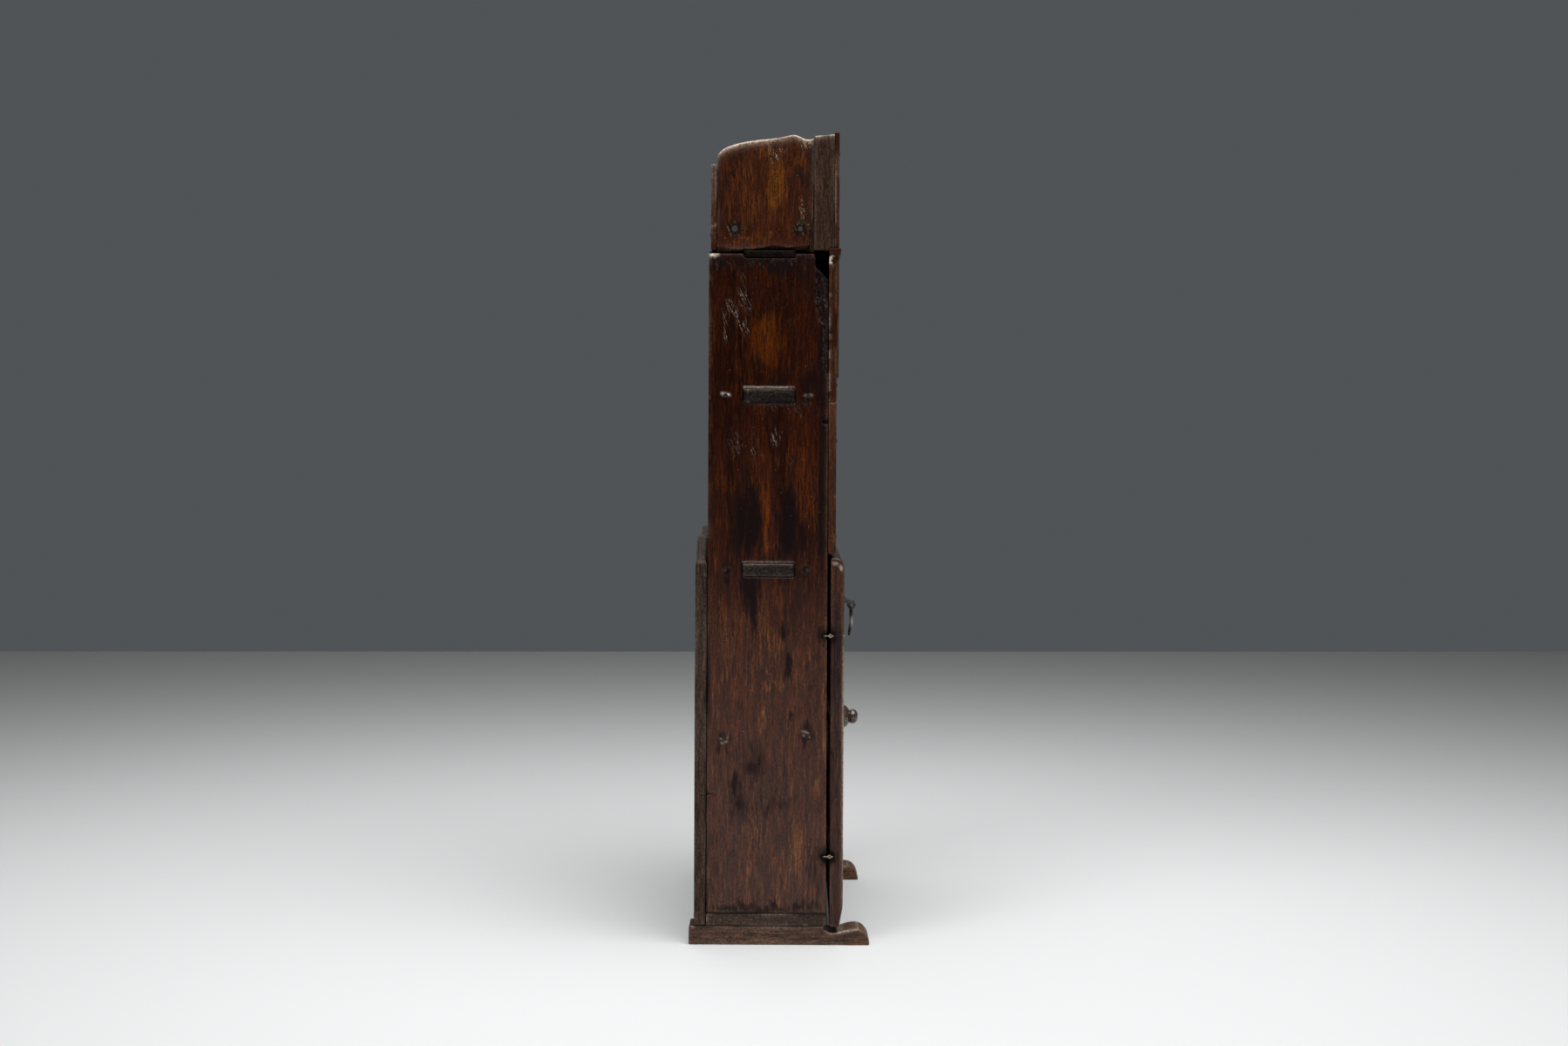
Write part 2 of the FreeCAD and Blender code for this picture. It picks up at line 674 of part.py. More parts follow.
def knob_body():
    """Turned knob: a wide dome, a neck and a rounded head, with a round shank behind."""
    z = knob_height
    base_y = door_outer_y - fit_gap
    centre = Vector(handle_x, base_y, z)

    def turned(shares):
        return [Vector(handle_x + knob_base_radius * r, base_y - knob_length * out, z) for r, out in shares]

    dome = turned(knob_dome_shares)
    head = turned(knob_head_shares)
    rim = Vector(handle_x + knob_base_radius, base_y, z)
    edges = lines([centre, rim, dome[0]]) + [curve(dome)] + lines([dome[-1], head[0]])
    edges += [curve(head)] + lines([head[-1], centre])
    turning = Part.Face(Part.Wire(edges)).revolve(centre, Vector(0, 1, 0), 360)
    shank_length = fit_gap + door_thickness + tongue_standoff + tongue_thickness
    shank = rod(centre, Vector(0, 1, 0), knob_shank_radius, shank_length)
    return join([turning, shank])


def latch():
    """Knob, its tongue behind the door and the keeper on the right side board."""
    z = knob_height
    hole = rod(Vector(handle_x, door_outer_y - overrun, z), Vector(0, 1, 0), knob_shank_radius + fit_gap,
               door_thickness + 2 * overrun)
    cut_from(["lower_door_lock_stile", "lower_door_mid_rail"], hole)
    parts["knob"] = knob_body()
    tongue_y = door_inner_y + tongue_standoff
    half_tongue = tongue_width / 2
    tongue = block((handle_x - half_tongue, handle_x + half_tongue), (tongue_y, tongue_y + tongue_thickness),
                   (z - tongue_reach, z + half_tongue))
    parts["latch_tongue"] = tongue.cut(parts["knob"])
    parts["latch_keeper"] = block((inner_half - keeper_width, inner_half), (front_y, front_y + keeper_depth),
                                  (z - keeper_height / 2, z + keeper_height / 2))
    return ["knob", "latch_tongue"]


def upper_door():
    """Inset door of the upper cupboard, standing a little proud, on an iron pivot above and below."""
    xs = (upper_door_left, upper_door_right)
    ys = (upper_door_front_y, upper_door_back_y)
    zs = (upper_door_bottom_z, upper_door_top_z)
    slab = rounded_block(xs, ys, zs,
                         (upper_door_hinge_round, upper_door_hinge_round, upper_door_arris, upper_door_arris))
    rails = (("bottom_rail", zs[0], zs[0] + upper_door_rail_height),
             ("top_rail", zs[1] - upper_door_rail_height, zs[1]))
    panelled_door("upper_door_", slab, xs, ys, zs, upper_door_stile_width, rails,
                  (upper_tenon_length, upper_tenon_thickness, upper_tenon_shoulder),
                  (panel_groove, upper_panel_thickness, upper_field_rise, upper_bevel_width))
    length = pivot_depth_in_rail + upper_door_height_gap + pivot_depth_in_door
    starts = (cupboard_rail_top_height - pivot_depth_in_rail,
              top_rail_bottom_height + pivot_depth_in_rail - length)
    pivots = [rod(Vector(pivot_x, pivot_y, z), Vector(0, 0, 1), pivot_radius, length) for z in starts]
    parts["upper_door_pivots"] = Part.makeCompound(pivots)
    cut_from(["upper_door_hinge_stile"], parts["upper_door_pivots"])
    for name, z in zip(("cupboard_rail", "top_rail"), starts):
        cut_from([name], rod(Vector(pivot_x, pivot_y, z - fit_gap), Vector(0, 0, 1), pivot_radius + fit_gap,
                             length + 2 * fit_gap))


def turn_button():
    """Wooden button on the right face stile that turns over the edge of the upper door."""
    x = opening_half + button_outset
    z = button_z
    half = button_width / 2
    back_y = upper_door_front_y - fit_gap
    front = back_y - button_thickness
    bar = block((x - half, x + half), (front, back_y), (z - button_half_length, z + button_half_length))
    boss = rod(Vector(x, front, z), Vector(0, 1, 0), button_boss_radius, face_y - fit_gap - front)
    hole = rod(Vector(x, front - overrun, z), Vector(0, 1, 0), button_nail_radius + fit_gap,
               face_y - front + 2 * overrun)
    parts["turn_button"] = join([bar, boss]).cut(hole)
    head_y = front - fit_gap - button_nail_head_thickness
    start = Vector(x, head_y, z)
    head = rod(start, Vector(0, 1, 0), button_nail_head_radius, button_nail_head_thickness)
    shank = rod(start, Vector(0, 1, 0), button_nail_radius, face_y + button_nail_depth - head_y)
    parts["turn_button_nail"] = join([head, shank])
    cut_from(["face_stile_right_upper"], parts["turn_button_nail"])


def nail(surface, direction, length):
    """Wrought nail: its head half sunk at a point on a surface, its shank along a direction."""
    head_start = surface - direction * nail_head_proud
    head = rod(head_start, direction, nail_head_radius, nail_head_proud + nail_head_sunk)
    return join([head, rod(surface, direction, nail_radius, length)])


def drive(group, nails, targets):
    """Put nails or pegs in one group and cut their holes."""
    parts[group] = Part.makeCompound(nails)
    cut_from(targets, parts[group])


def case_nails():
    inward = {side: Vector(-side, 0, 0) for side in (-1, 1)}
    forward = Vector(0, -1, 0)
    backward = Vector(0, 1, 0)
    lower_z = lower_shelf_height + lower_shelf_thickness / 2
    waist_z = waist_shelf_height + waist_shelf_thickness / 2
    middle_z = middle_shelf_height + middle_shelf_thickness / 2
    nail_ys = [front_y + side_depth * share for share in (side_nail_front_share, side_nail_back_share)]
    drive("side_nails",
          [nail(Vector(side * half_width, y, z), inward[side], nail_length)
           for side in (-1, 1) for y in nail_ys for z in (lower_z, waist_z, middle_z)],
          ["side_board_left", "side_board_right", "lower_shelf", "waist_shelf", "middle_shelf"])

    stile_x = half_width - side_thickness / 2
    face_zs = []
    stile_ends = (face_bottom_height, face_split_height, top_rail_bottom_height)
    for z_low, z_high in zip(stile_ends, stile_ends[1:]):
        face_zs += [z_low + (z_high - z_low) * share for share in face_nail_shares]
    drive("face_nails",
          [nail(Vector(side * stile_x, face_y, z), backward, nail_length)
           for side in (-1, 1) for z in face_zs],
          ["side_board_left", "side_board_right", "face_stile_left_lower", "face_stile_left_upper",
           "face_stile_right_lower", "face_stile_right_upper"])

    plank_back_y = back_y + plank_thickness
    bottom_z = foot_height + bottom_board_thickness / 2
    plank_names = ["back_plank_%d" % number for number in range(1, len(plank_width_shares) + 1)]
    plank_nails = []
    x = -half_width
    for share in plank_width_shares:
        centre_x = x + case_width * share / 2
        plank_nails += [nail(Vector(centre_x, plank_back_y, z), forward, nail_length)
                        for z in (bottom_z, lower_z, waist_z)]
        x += case_width * share

    board_names = ["upper_back_board_%d" % (number + 1) for number in range(upper_back_count)]
    width = 2 * inner_half / upper_back_count
    board_xs = [-inner_half + width * (number + share) for number in range(upper_back_count)
                for share in upper_back_nail_shares]
    board_nails = [nail(Vector(x, back_y, middle_z), forward, small_nail_length) for x in board_xs]
    drive("back_nails", plank_nails + board_nails,
          plank_names + board_names + ["bottom_board", "lower_shelf", "waist_shelf", "middle_shelf"])

    foot_x = half_width - foot_width / 2
    drive("foot_nails",
          [nail(Vector(side * foot_x, y, side_bottom_z), Vector(0, 0, -1), nail_length)
           for side in (-1, 1) for y in nail_ys],
          ["bottom_board", "foot_left", "foot_right"])


def gallery_fastenings():
    cheek_x = half_width - cheek_thickness / 2
    gallery_back_y = cheek_back_y + gallery_back_thickness
    post_x = half_width - post_width / 2
    fascia_y = post_front_y - fascia_thickness
    nails = []
    for side in (-1, 1):
        for share in gallery_nail_shares:
            nails.append(nail(Vector(side * cheek_x, gallery_back_y, gallery_z + gallery_back_height * share),
                              Vector(0, -1, 0), small_nail_length))
            nails.append(nail(Vector(side * post_x, fascia_y, top_rail_z + fascia_height * share),
                              Vector(0, 1, 0), small_nail_length))
    drive("gallery_nails", nails,
          ["gallery_back", "gallery_cheek_left", "gallery_cheek_right", "gallery_fascia", "gallery_post_left",
           "gallery_post_right"])
    pegs = []
    for side in (-1, 1):
        start_x = side * (half_width + cheek_peg_proud)
        for share, radius in zip(cheek_peg_shares, (cheek_back_peg_radius, cheek_front_peg_radius)):
            start = Vector(start_x, cheek_back_y - cheek_depth * share, gallery_z + cheek_peg_height)
            pegs.append(rod(start, Vector(-side, 0, 0), radius, cheek_peg_length + cheek_peg_proud))
    drive("gallery_pegs", pegs, ["gallery_cheek_left", "gallery_cheek_right", "gallery_cleats"])


case_boards()
back_boards()
face_frame()
gallery()
lower_door_names = lower_door()
lower_door_names += lower_hinges()
lower_door_names += handle()
lower_door_names += latch()
for part_name in lower_door_names:
    parts[part_name] = swing_ajar(parts[part_name])
upper_door()
turn_button()
case_nails()
gallery_fastenings()

os.makedirs("parts", exist_ok=True)
for part_name, shape in parts.items():
    shape.exportStep("parts/%s.step" % part_name)
    print(part_name, len(shape.Solids), shape.isValid(), round(shape.Volume / 1000, 1))
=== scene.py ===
"""Looks of the tall cabinet on sled feet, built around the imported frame. Metres, +Z up, front towards -Y."""

import bpy
import json
import math
import numpy as np
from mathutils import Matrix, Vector


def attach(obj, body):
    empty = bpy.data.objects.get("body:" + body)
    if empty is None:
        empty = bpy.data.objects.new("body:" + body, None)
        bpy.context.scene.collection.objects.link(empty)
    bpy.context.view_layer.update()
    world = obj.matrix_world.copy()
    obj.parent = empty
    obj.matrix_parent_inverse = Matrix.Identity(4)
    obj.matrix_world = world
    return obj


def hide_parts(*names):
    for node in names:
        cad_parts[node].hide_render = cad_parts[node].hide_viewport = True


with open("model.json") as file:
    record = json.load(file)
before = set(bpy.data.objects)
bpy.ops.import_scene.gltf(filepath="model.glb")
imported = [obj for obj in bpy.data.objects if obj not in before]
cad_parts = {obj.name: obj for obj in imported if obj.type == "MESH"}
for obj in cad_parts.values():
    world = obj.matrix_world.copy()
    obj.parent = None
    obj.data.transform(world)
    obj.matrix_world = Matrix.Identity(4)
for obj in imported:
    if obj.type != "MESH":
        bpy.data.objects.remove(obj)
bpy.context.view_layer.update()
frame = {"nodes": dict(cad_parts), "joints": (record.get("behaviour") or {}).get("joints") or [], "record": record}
nodes = frame["nodes"]
body_of = {name: body for body, names in frame["record"]["behaviour"]["bodies"].items() for name in names}
slot_of = {part["node"]: part["material_slot"] for part in frame["record"]["subparts"]}

MM = 0.001
X, Y, Z = 0, 1, 2
OUTER_X = -0.335  # outer face of the left side board and of the left gallery cheek
THROUGH = 0.02  # reach of a mark through that face
EVEN = 9000  # millimetres: a noise cell so long that the noise stays even along it
AJAR = math.radians(0.4)  # how far the lower door stands open at rest
DOOR_AXIS = next(joint["pos_m"] for joint in frame["joints"] if joint["name"] == "lower_door_hinge")


# Repeatable noise on lattice points

AXIS_FACTORS = (374761393, 668265263, 1440662683)
SEED_FACTOR = 97911
MIX_FACTOR = 1274126177
LOW_32_BITS = 0xFFFFFFFF
LOW_16_BITS = 0xFFFF


def lattice(cell, seed):
    """Repeatable value from 0 to 1 for each cell."""
    mixed = sum(cell[..., axis] * factor for axis, factor in enumerate(AXIS_FACTORS)) + seed * SEED_FACTOR
    mixed = (mixed ^ (mixed >> 13)) * MIX_FACTOR & LOW_32_BITS
    return ((mixed ^ (mixed >> 16)) & LOW_16_BITS) / LOW_16_BITS


def noise(points, cell_size, seed):
    """Smooth noise from 0 to 1; cell_size is the size of its features in metres, one value or one per axis."""
    place = points / np.asarray(cell_size, float)
    cell = np.floor(place).astype(np.int64)
    part = place - cell
    part = part * part * (3 - 2 * part)
    total = np.zeros(len(points))
    for corner in np.ndindex(2, 2, 2):
        step = np.array(corner)
        weight = np.prod(np.where(step, part, 1 - part), axis=1)
        total += weight * lattice(cell + step, seed)
    return total


def layered(points, cell_size, seed, layers=3):
    """Sum of noises, each half as large and half as strong as the one before, from 0 to 1."""
    total = np.zeros(len(points))
    for layer in range(layers):
        total += noise(points, np.asarray(cell_size, float) / 2 ** layer, seed + layer) / 2 ** layer
    return total / (2 - 2 ** (1 - layers))


def on_face(points, across, up, seed, layers=3):
    """Layered noise over the cabinet's left face, even through it; feature sizes in millimetres."""
    return layered(points, (EVEN * MM, across * MM, up * MM), seed, layers)


def smoothstep(low, high, value):
    """Smooth rise from 0 at low to 1 at high."""
    share = np.clip((value - low) / (high - low), 0, 1)
    return share * share * (3 - 2 * share)


def blob(points, centre, size, soft=0.35):
    """1 inside an ellipsoid, 0 outside, with a soft edge; a size of None leaves that axis out."""
    total = np.zeros(len(points))
    for axis in range(3):
        if size[axis] is not None:
            total += ((points[:, axis] - centre[axis]) / size[axis]) ** 2
    return 1 - smoothstep(1 - soft, 1 + soft, np.sqrt(total))


def fade(distance, reach):
    """1 at no distance, then falling off; reach in millimetres."""
    return np.exp(-distance / (reach * MM))


def bell(distance, width):
    """1 at no distance, falling off with a round top; width in millimetres."""
    return np.exp(-(distance / (width * MM)) ** 2)


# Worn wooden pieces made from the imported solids

def turned(points, angle):
    """Points turned about the lower door's axis, seen from above."""
    c, s = math.cos(angle), math.sin(angle)
    x = points[:, X] - DOOR_AXIS[X]
    y = points[:, Y] - DOOR_AXIS[Y]
    return np.column_stack([DOOR_AXIS[X] + c * x - s * y, DOOR_AXIS[Y] + s * x + c * y, points[:, Z]])


def read_points(mesh):
    """Places of a mesh's vertices, one row for each."""
    flat = np.zeros(len(mesh.vertices) * 3, np.float32)
    mesh.vertices.foreach_get("co", flat)
    return flat.reshape(-1, 3).astype(float)


def remeshed(name, voxel):
    """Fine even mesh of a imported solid."""
    holder = bpy.data.objects.new(name + "_draft", nodes[name].data.copy())
    bpy.context.scene.collection.objects.link(holder)
    change = holder.modifiers.new("even", "REMESH")
    change.mode = "VOXEL"
    change.voxel_size = voxel
    graph = bpy.context.evaluated_depsgraph_get()
    mesh = bpy.data.meshes.new_from_object(holder.evaluated_get(graph))
    draft = holder.data
    bpy.data.objects.remove(holder)
    bpy.data.meshes.remove(draft)
    return mesh


def top_outline(cad, axis):
    """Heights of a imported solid's top along an axis, as two arrays to interpolate."""
    places = np.round(cad[:, axis], 5)  # to a hundredth of a millimetre
    keys = np.unique(places)
    return keys, np.array([cad[places == key, Z].max() for key in keys])


def top_height(points, top):
    """Height of the board's uneven top over each vertex."""
    axis, outline = top
    return np.interp(points[:, axis], *outline)


def face_gaps(points, low, high, axis, top):
    """Distances from each vertex to the two faces of its board that lie across an axis."""
    ceiling = high[axis]
    if axis == Z and top is not None:
        ceiling = top_height(points, top)
    return points[:, axis] - low[axis], ceiling - points[:, axis]


def round_arrises(points, low, high, radius, top):
    """Pull the vertices near each arris in, to a rounding whose radius differs from place to place."""
    for axes in ((X, Y), (X, Z), (Y, Z)):
        sides = []
        for axis in axes:
            below, above = face_gaps(points, low, high, axis, top)
            sides.append((radius - np.minimum(below, above), np.where(below < above, 1.0, -1.0)))
        (reach_a, _), (reach_b, _) = sides
        length = np.hypot(np.maximum(reach_a, 0), np.maximum(reach_b, 0))
        inside = (reach_a > 0) & (reach_b > 0) & (length > radius)
        scale = np.where(inside, radius / np.maximum(length, 1e-9), 1)
        for axis, (reach, sign) in zip(axes, sides):
            points[:, axis] += np.where(inside, sign * reach * (1 - scale), 0)
    return points


def arris_nearness(points, low, high, top):
    """Distance from each vertex to the nearest arris of its board."""
    gaps = np.sort([np.minimum(*face_gaps(points, low, high, axis, top)) for axis in (X, Y, Z)], axis=0)
    return np.maximum(gaps[1], 0)


# Sizes of the wear and of the painted highlights in millimetres
SWELL_ACROSS = 45
SWELL_ALONG = 160
RUBBED_PATCH = 55
NICK = 13
NICK_DEPTH = 3.5
SPARKLE = 14
RUB_REACH = 3.2
TOP_WEAR_REACH = 4.5
TOP_GLINT_REACH = 2.2


def worn_piece(name, seed, voxel=3.0, radius=2.0, chips=1.0, waviness=0.5, top_axis=None, top_share=0.0,
               shape=None, paint=None, tone=0.5, rub=1.0, top_wear_and_highlight=0.0, top_glint=0.0, grain=Z):
    """Replace a packed wooden solid by a finer copy with rounded, chipped arrises and uneven faces.

    Lengths are in millimetres. A top_axis is given where the top isn't level: its outline along that axis is
    read from the points above top_share of the height. The shape function moves the points, and the paint
    function gives amounts of stain, amber, scratches, wear and painted highlights on them, and a change of
    lightness that on some pieces is painted shade. Along the top, the pale rubbed band is partly painted
    highlight, and its flecks are painted highlights.
    """
    on_door = body_of[name] == "lower_door"
    mesh = remeshed(name, voxel * MM)
    points = read_points(mesh)
    cad = read_points(nodes[name].data)
    if on_door:
        points = turned(points, AJAR)
        cad = turned(cad, AJAR)
    low, high = cad.min(0), cad.max(0)
    top = None
    if top_axis is not None:
        tall = cad[cad[:, Z] > low[Z] + top_share * (high[Z] - low[Z])]
        top = (top_axis, top_outline(tall, top_axis))

    normals = np.zeros(len(points) * 3, np.float32)
    mesh.vertex_normals.foreach_get("vector", normals)
    normals = normals.reshape(-1, 3).astype(float)
    near = arris_nearness(points, low, high, top)
    stretch = np.full(3, SWELL_ACROSS * MM)
    stretch[grain] = SWELL_ALONG * MM
    points = points - normals * (waviness * MM * layered(points, stretch, seed))[:, None]
    rubbed = layered(points, RUBBED_PATCH * MM, seed + 11)
    nicks = smoothstep(0.72, 0.92, noise(points, NICK * MM, seed + 17))
    rounding = radius * MM * (0.3 + 1.4 * rubbed) + chips * NICK_DEPTH * MM * nicks * rubbed
    points = round_arrises(points, low, high, rounding, top)

    amounts = {key: np.zeros(len(points)) for key in ("wear", "dark", "amber", "pale", "glint")}
    amounts["wear"] += rub * fade(near, RUB_REACH) * smoothstep(0.25, 0.8, rubbed + 0.5 * nicks)
    amounts["tone"] = np.full(len(points), tone)
    # Along the top, a pale rubbed band that is both wear and painted highlight, and flecks of painted highlight
    if top_wear_and_highlight:
        under = np.maximum(top_height(points, top) - points[:, Z], 0)
        sparkle = smoothstep(0.35, 0.60, layered(points, SPARKLE * MM, seed + 23))
        amounts["glint"] += top_glint * fade(under, TOP_GLINT_REACH) * sparkle
        amounts["wear"] += top_wear_and_highlight * fade(under, TOP_WEAR_REACH) * (0.4 + 1.2 * rubbed)
    if shape is not None:
        points = shape(points, low)
    if paint is not None:
        for key, value in paint(points, low, high).items():
            amounts[key] = np.clip(amounts[key] + value, 0, 1)
    amounts["tone"] = amounts["tone"] - 0.5
    points = np.clip(points, low, high)
    if on_door:
        points = turned(points, -AJAR)
    mesh.vertices.foreach_set("co", points.astype(np.float32).ravel())
    for key, value in amounts.items():
        mesh.attributes.new(key, "FLOAT", "POINT").data.foreach_set("value", value.astype(np.float32))
    mesh.polygons.foreach_set("use_smooth", np.ones(len(mesh.polygons), bool))
    mesh.update()

    piece = bpy.data.objects.new(name + "_worn", mesh)
    bpy.context.scene.collection.objects.link(piece)
    mesh.materials.clear()
    mesh.materials.append(wood(slot_of[name], grain))
    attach(piece, body_of[name])
    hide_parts(name)


# Materials

class Shader:
    """Short names for the nodes of one material."""

    def __init__(self, name):
        self.material = bpy.data.materials.new(name)
        self.material.use_nodes = True
        self.tree = self.material.node_tree
        self.surface = self.tree.nodes["Principled BSDF"]

    def node(self, kind, **settings):
        """A new node with some of its properties set."""
        made = self.tree.nodes.new(kind)
        for key, value in settings.items():
            setattr(made, key, value)
        return made

    def put(self, value, socket):
        """Link a socket, or set a plain value."""
        if isinstance(value, bpy.types.NodeSocket):
            self.tree.links.new(value, socket)
        else:
            socket.default_value = value

    def place(self, scale, tilt=0.0):
        """Object coordinates, tilted about X and then stretched by a factor for each axis."""
        tilted = self.node("ShaderNodeMapping")
        self.put(self.node("ShaderNodeTexCoord").outputs["Object"], tilted.inputs["Vector"])
        tilted.inputs["Rotation"].default_value = (tilt, 0, 0)
        mapping = self.node("ShaderNodeMapping")
        self.put(tilted.outputs["Vector"], mapping.inputs["Vector"])
        mapping.inputs["Scale"].default_value = scale
        return mapping.outputs["Vector"]

    def noise(self, vector, scale, detail, rough=0.5, warp=0.0):
        """Value of a noise texture."""
        made = self.node("ShaderNodeTexNoise")
        self.put(vector, made.inputs["Vector"])
        made.inputs["Scale"].default_value = scale
        made.inputs["Detail"].default_value = detail
        made.inputs["Roughness"].default_value = rough
        made.inputs["Distortion"].default_value = warp
        return made.outputs["Fac"]

    def math(self, operation, first, second=0.0, clamp=False):
        """Result of a sum on sockets or plain values."""
        made = self.node("ShaderNodeMath", operation=operation, use_clamp=clamp)
        self.put(first, made.inputs[0])
        self.put(second, made.inputs[1])
        return made.outputs[0]

    def span(self, value, low, high, out_low=0.0, out_high=1.0):
        """Smooth step of a value between two limits."""
        made = self.node("ShaderNodeMapRange", interpolation_type="SMOOTHSTEP")
        for socket, item in zip(("Value", "From Min", "From Max", "To Min", "To Max"),
                                (value, low, high, out_low, out_high)):
            self.put(item, made.inputs[socket])
        return made.outputs["Result"]

    def blend(self, amount, first, second, kind="MIX"):
        """Mix of two colours, each a socket or three values."""
        made = self.node("ShaderNodeMix", data_type="RGBA", blend_type=kind)
        self.put(amount, made.inputs[0])
        for value, socket in ((first, made.inputs[6]), (second, made.inputs[7])):
            self.put(value + (1,) if isinstance(value, tuple) else value, socket)
        return made.outputs[2]

    def amount(self, name):
        """One of the amounts that worn_piece stores on the vertices."""
        return self.node("ShaderNodeAttribute", attribute_name=name).outputs["Fac"]

    def bump(self, height, distance, strength, below=None):
        """Normal of a relief laid over the one below it."""
        made = self.node("ShaderNodeBump")
        self.put(height, made.inputs["Height"])
        made.inputs["Distance"].default_value = distance
        made.inputs["Strength"].default_value = strength
        if below is not None:
            self.put(below, made.inputs["Normal"])
        return made.outputs["Normal"]


# Colours of each wood: dark grain, body, light streak, amber, stain, rubbed arris, scratch
WOODS = {
    "case_wood": ((0.022, 0.0042, 0.0014), (0.052, 0.0105, 0.0034), (0.090, 0.025, 0.0070), (0.134, 0.030, 0.0028),
                  (0.008, 0.0045, 0.0045), (0.210, 0.105, 0.055), (0.420, 0.380, 0.350)),
    "door_wood": ((0.022, 0.009, 0.007), (0.052, 0.020, 0.013), (0.090, 0.038, 0.022), (0.120, 0.038, 0.014),
                  (0.011, 0.007, 0.007), (0.190, 0.100, 0.062), (0.180, 0.150, 0.130)),
    "panel_wood": ((0.024, 0.009, 0.005), (0.062, 0.021, 0.010), (0.110, 0.043, 0.019), (0.140, 0.042, 0.012),
                   (0.012, 0.007, 0.006), (0.190, 0.095, 0.055), (0.180, 0.150, 0.130)),
    # The gallery's pale rubbed colour also paints the highlight along the cheeks' top arris
    "gallery_wood": ((0.047, 0.0108, 0.0034), (0.067, 0.0163, 0.0050), (0.100, 0.0295, 0.0081), (0.158, 0.048, 0.007),
                     (0.010, 0.006, 0.005), (0.520, 0.375, 0.290), (0.480, 0.360, 0.220)),
    "grey_wood": ((0.030, 0.014, 0.009), (0.078, 0.040, 0.024), (0.135, 0.078, 0.048), (0.150, 0.056, 0.020),
                  (0.010, 0.007, 0.007), (0.420, 0.290, 0.210), (0.200, 0.170, 0.150)),
    "back_wood": ((0.024, 0.014, 0.010), (0.060, 0.035, 0.025), (0.115, 0.076, 0.056), (0.110, 0.050, 0.026),
                  (0.014, 0.010, 0.009), (0.200, 0.140, 0.105), (0.180, 0.150, 0.130)),
    "shelf_wood": ((0.008, 0.005, 0.004), (0.020, 0.013, 0.010), (0.050, 0.035, 0.028), (0.060, 0.030, 0.016),
                   (0.006, 0.005, 0.005), (0.190, 0.145, 0.115), (0.200, 0.170, 0.150)),
    "turned_wood": ((0.052, 0.030, 0.020), (0.110, 0.064, 0.043), (0.170, 0.108, 0.076), (0.170, 0.088, 0.050),
                    (0.012, 0.008, 0.007), (0.220, 0.140, 0.095), (0.200, 0.170, 0.150)),
}
DRY_WOODS = ("grey_wood", "back_wood", "shelf_wood")
# Limits of the pores, roughest and smoothest gloss, highest shine, and relief of streaks, mottle, strands and fibres
WAXED = {"pores": (0.66, 0.76), "gloss": (0.42, 0.20), "shine": 0.36, "relief": (0.25, 0.35, 0.4, 0.4)}
DRY = {"pores": (0.60, 0.70), "gloss": (0.60, 0.42), "shine": 0.22, "relief": (0.5, 0.5, 0.7, 0.7)}
RELIEF_DEPTHS = (0.0010, 0.0005, 0.0006, 0.0003)
PORE_DEPTH = 0.0005
# Greyer colours of case wood where it is painted lighter low down: painted reflection of the bright floor
PAINTED_FLOOR_HAZE_BODY = (0.048, 0.019, 0.0105)
PAINTED_FLOOR_HAZE_AMBER = (0.145, 0.052, 0.013)
# Colour of the painted highlights, mixed into the base colour by the glint amount
GLINT = (0.82, 0.72, 0.60)
SCRATCH_TILT = math.radians(20)
made_woods = {}


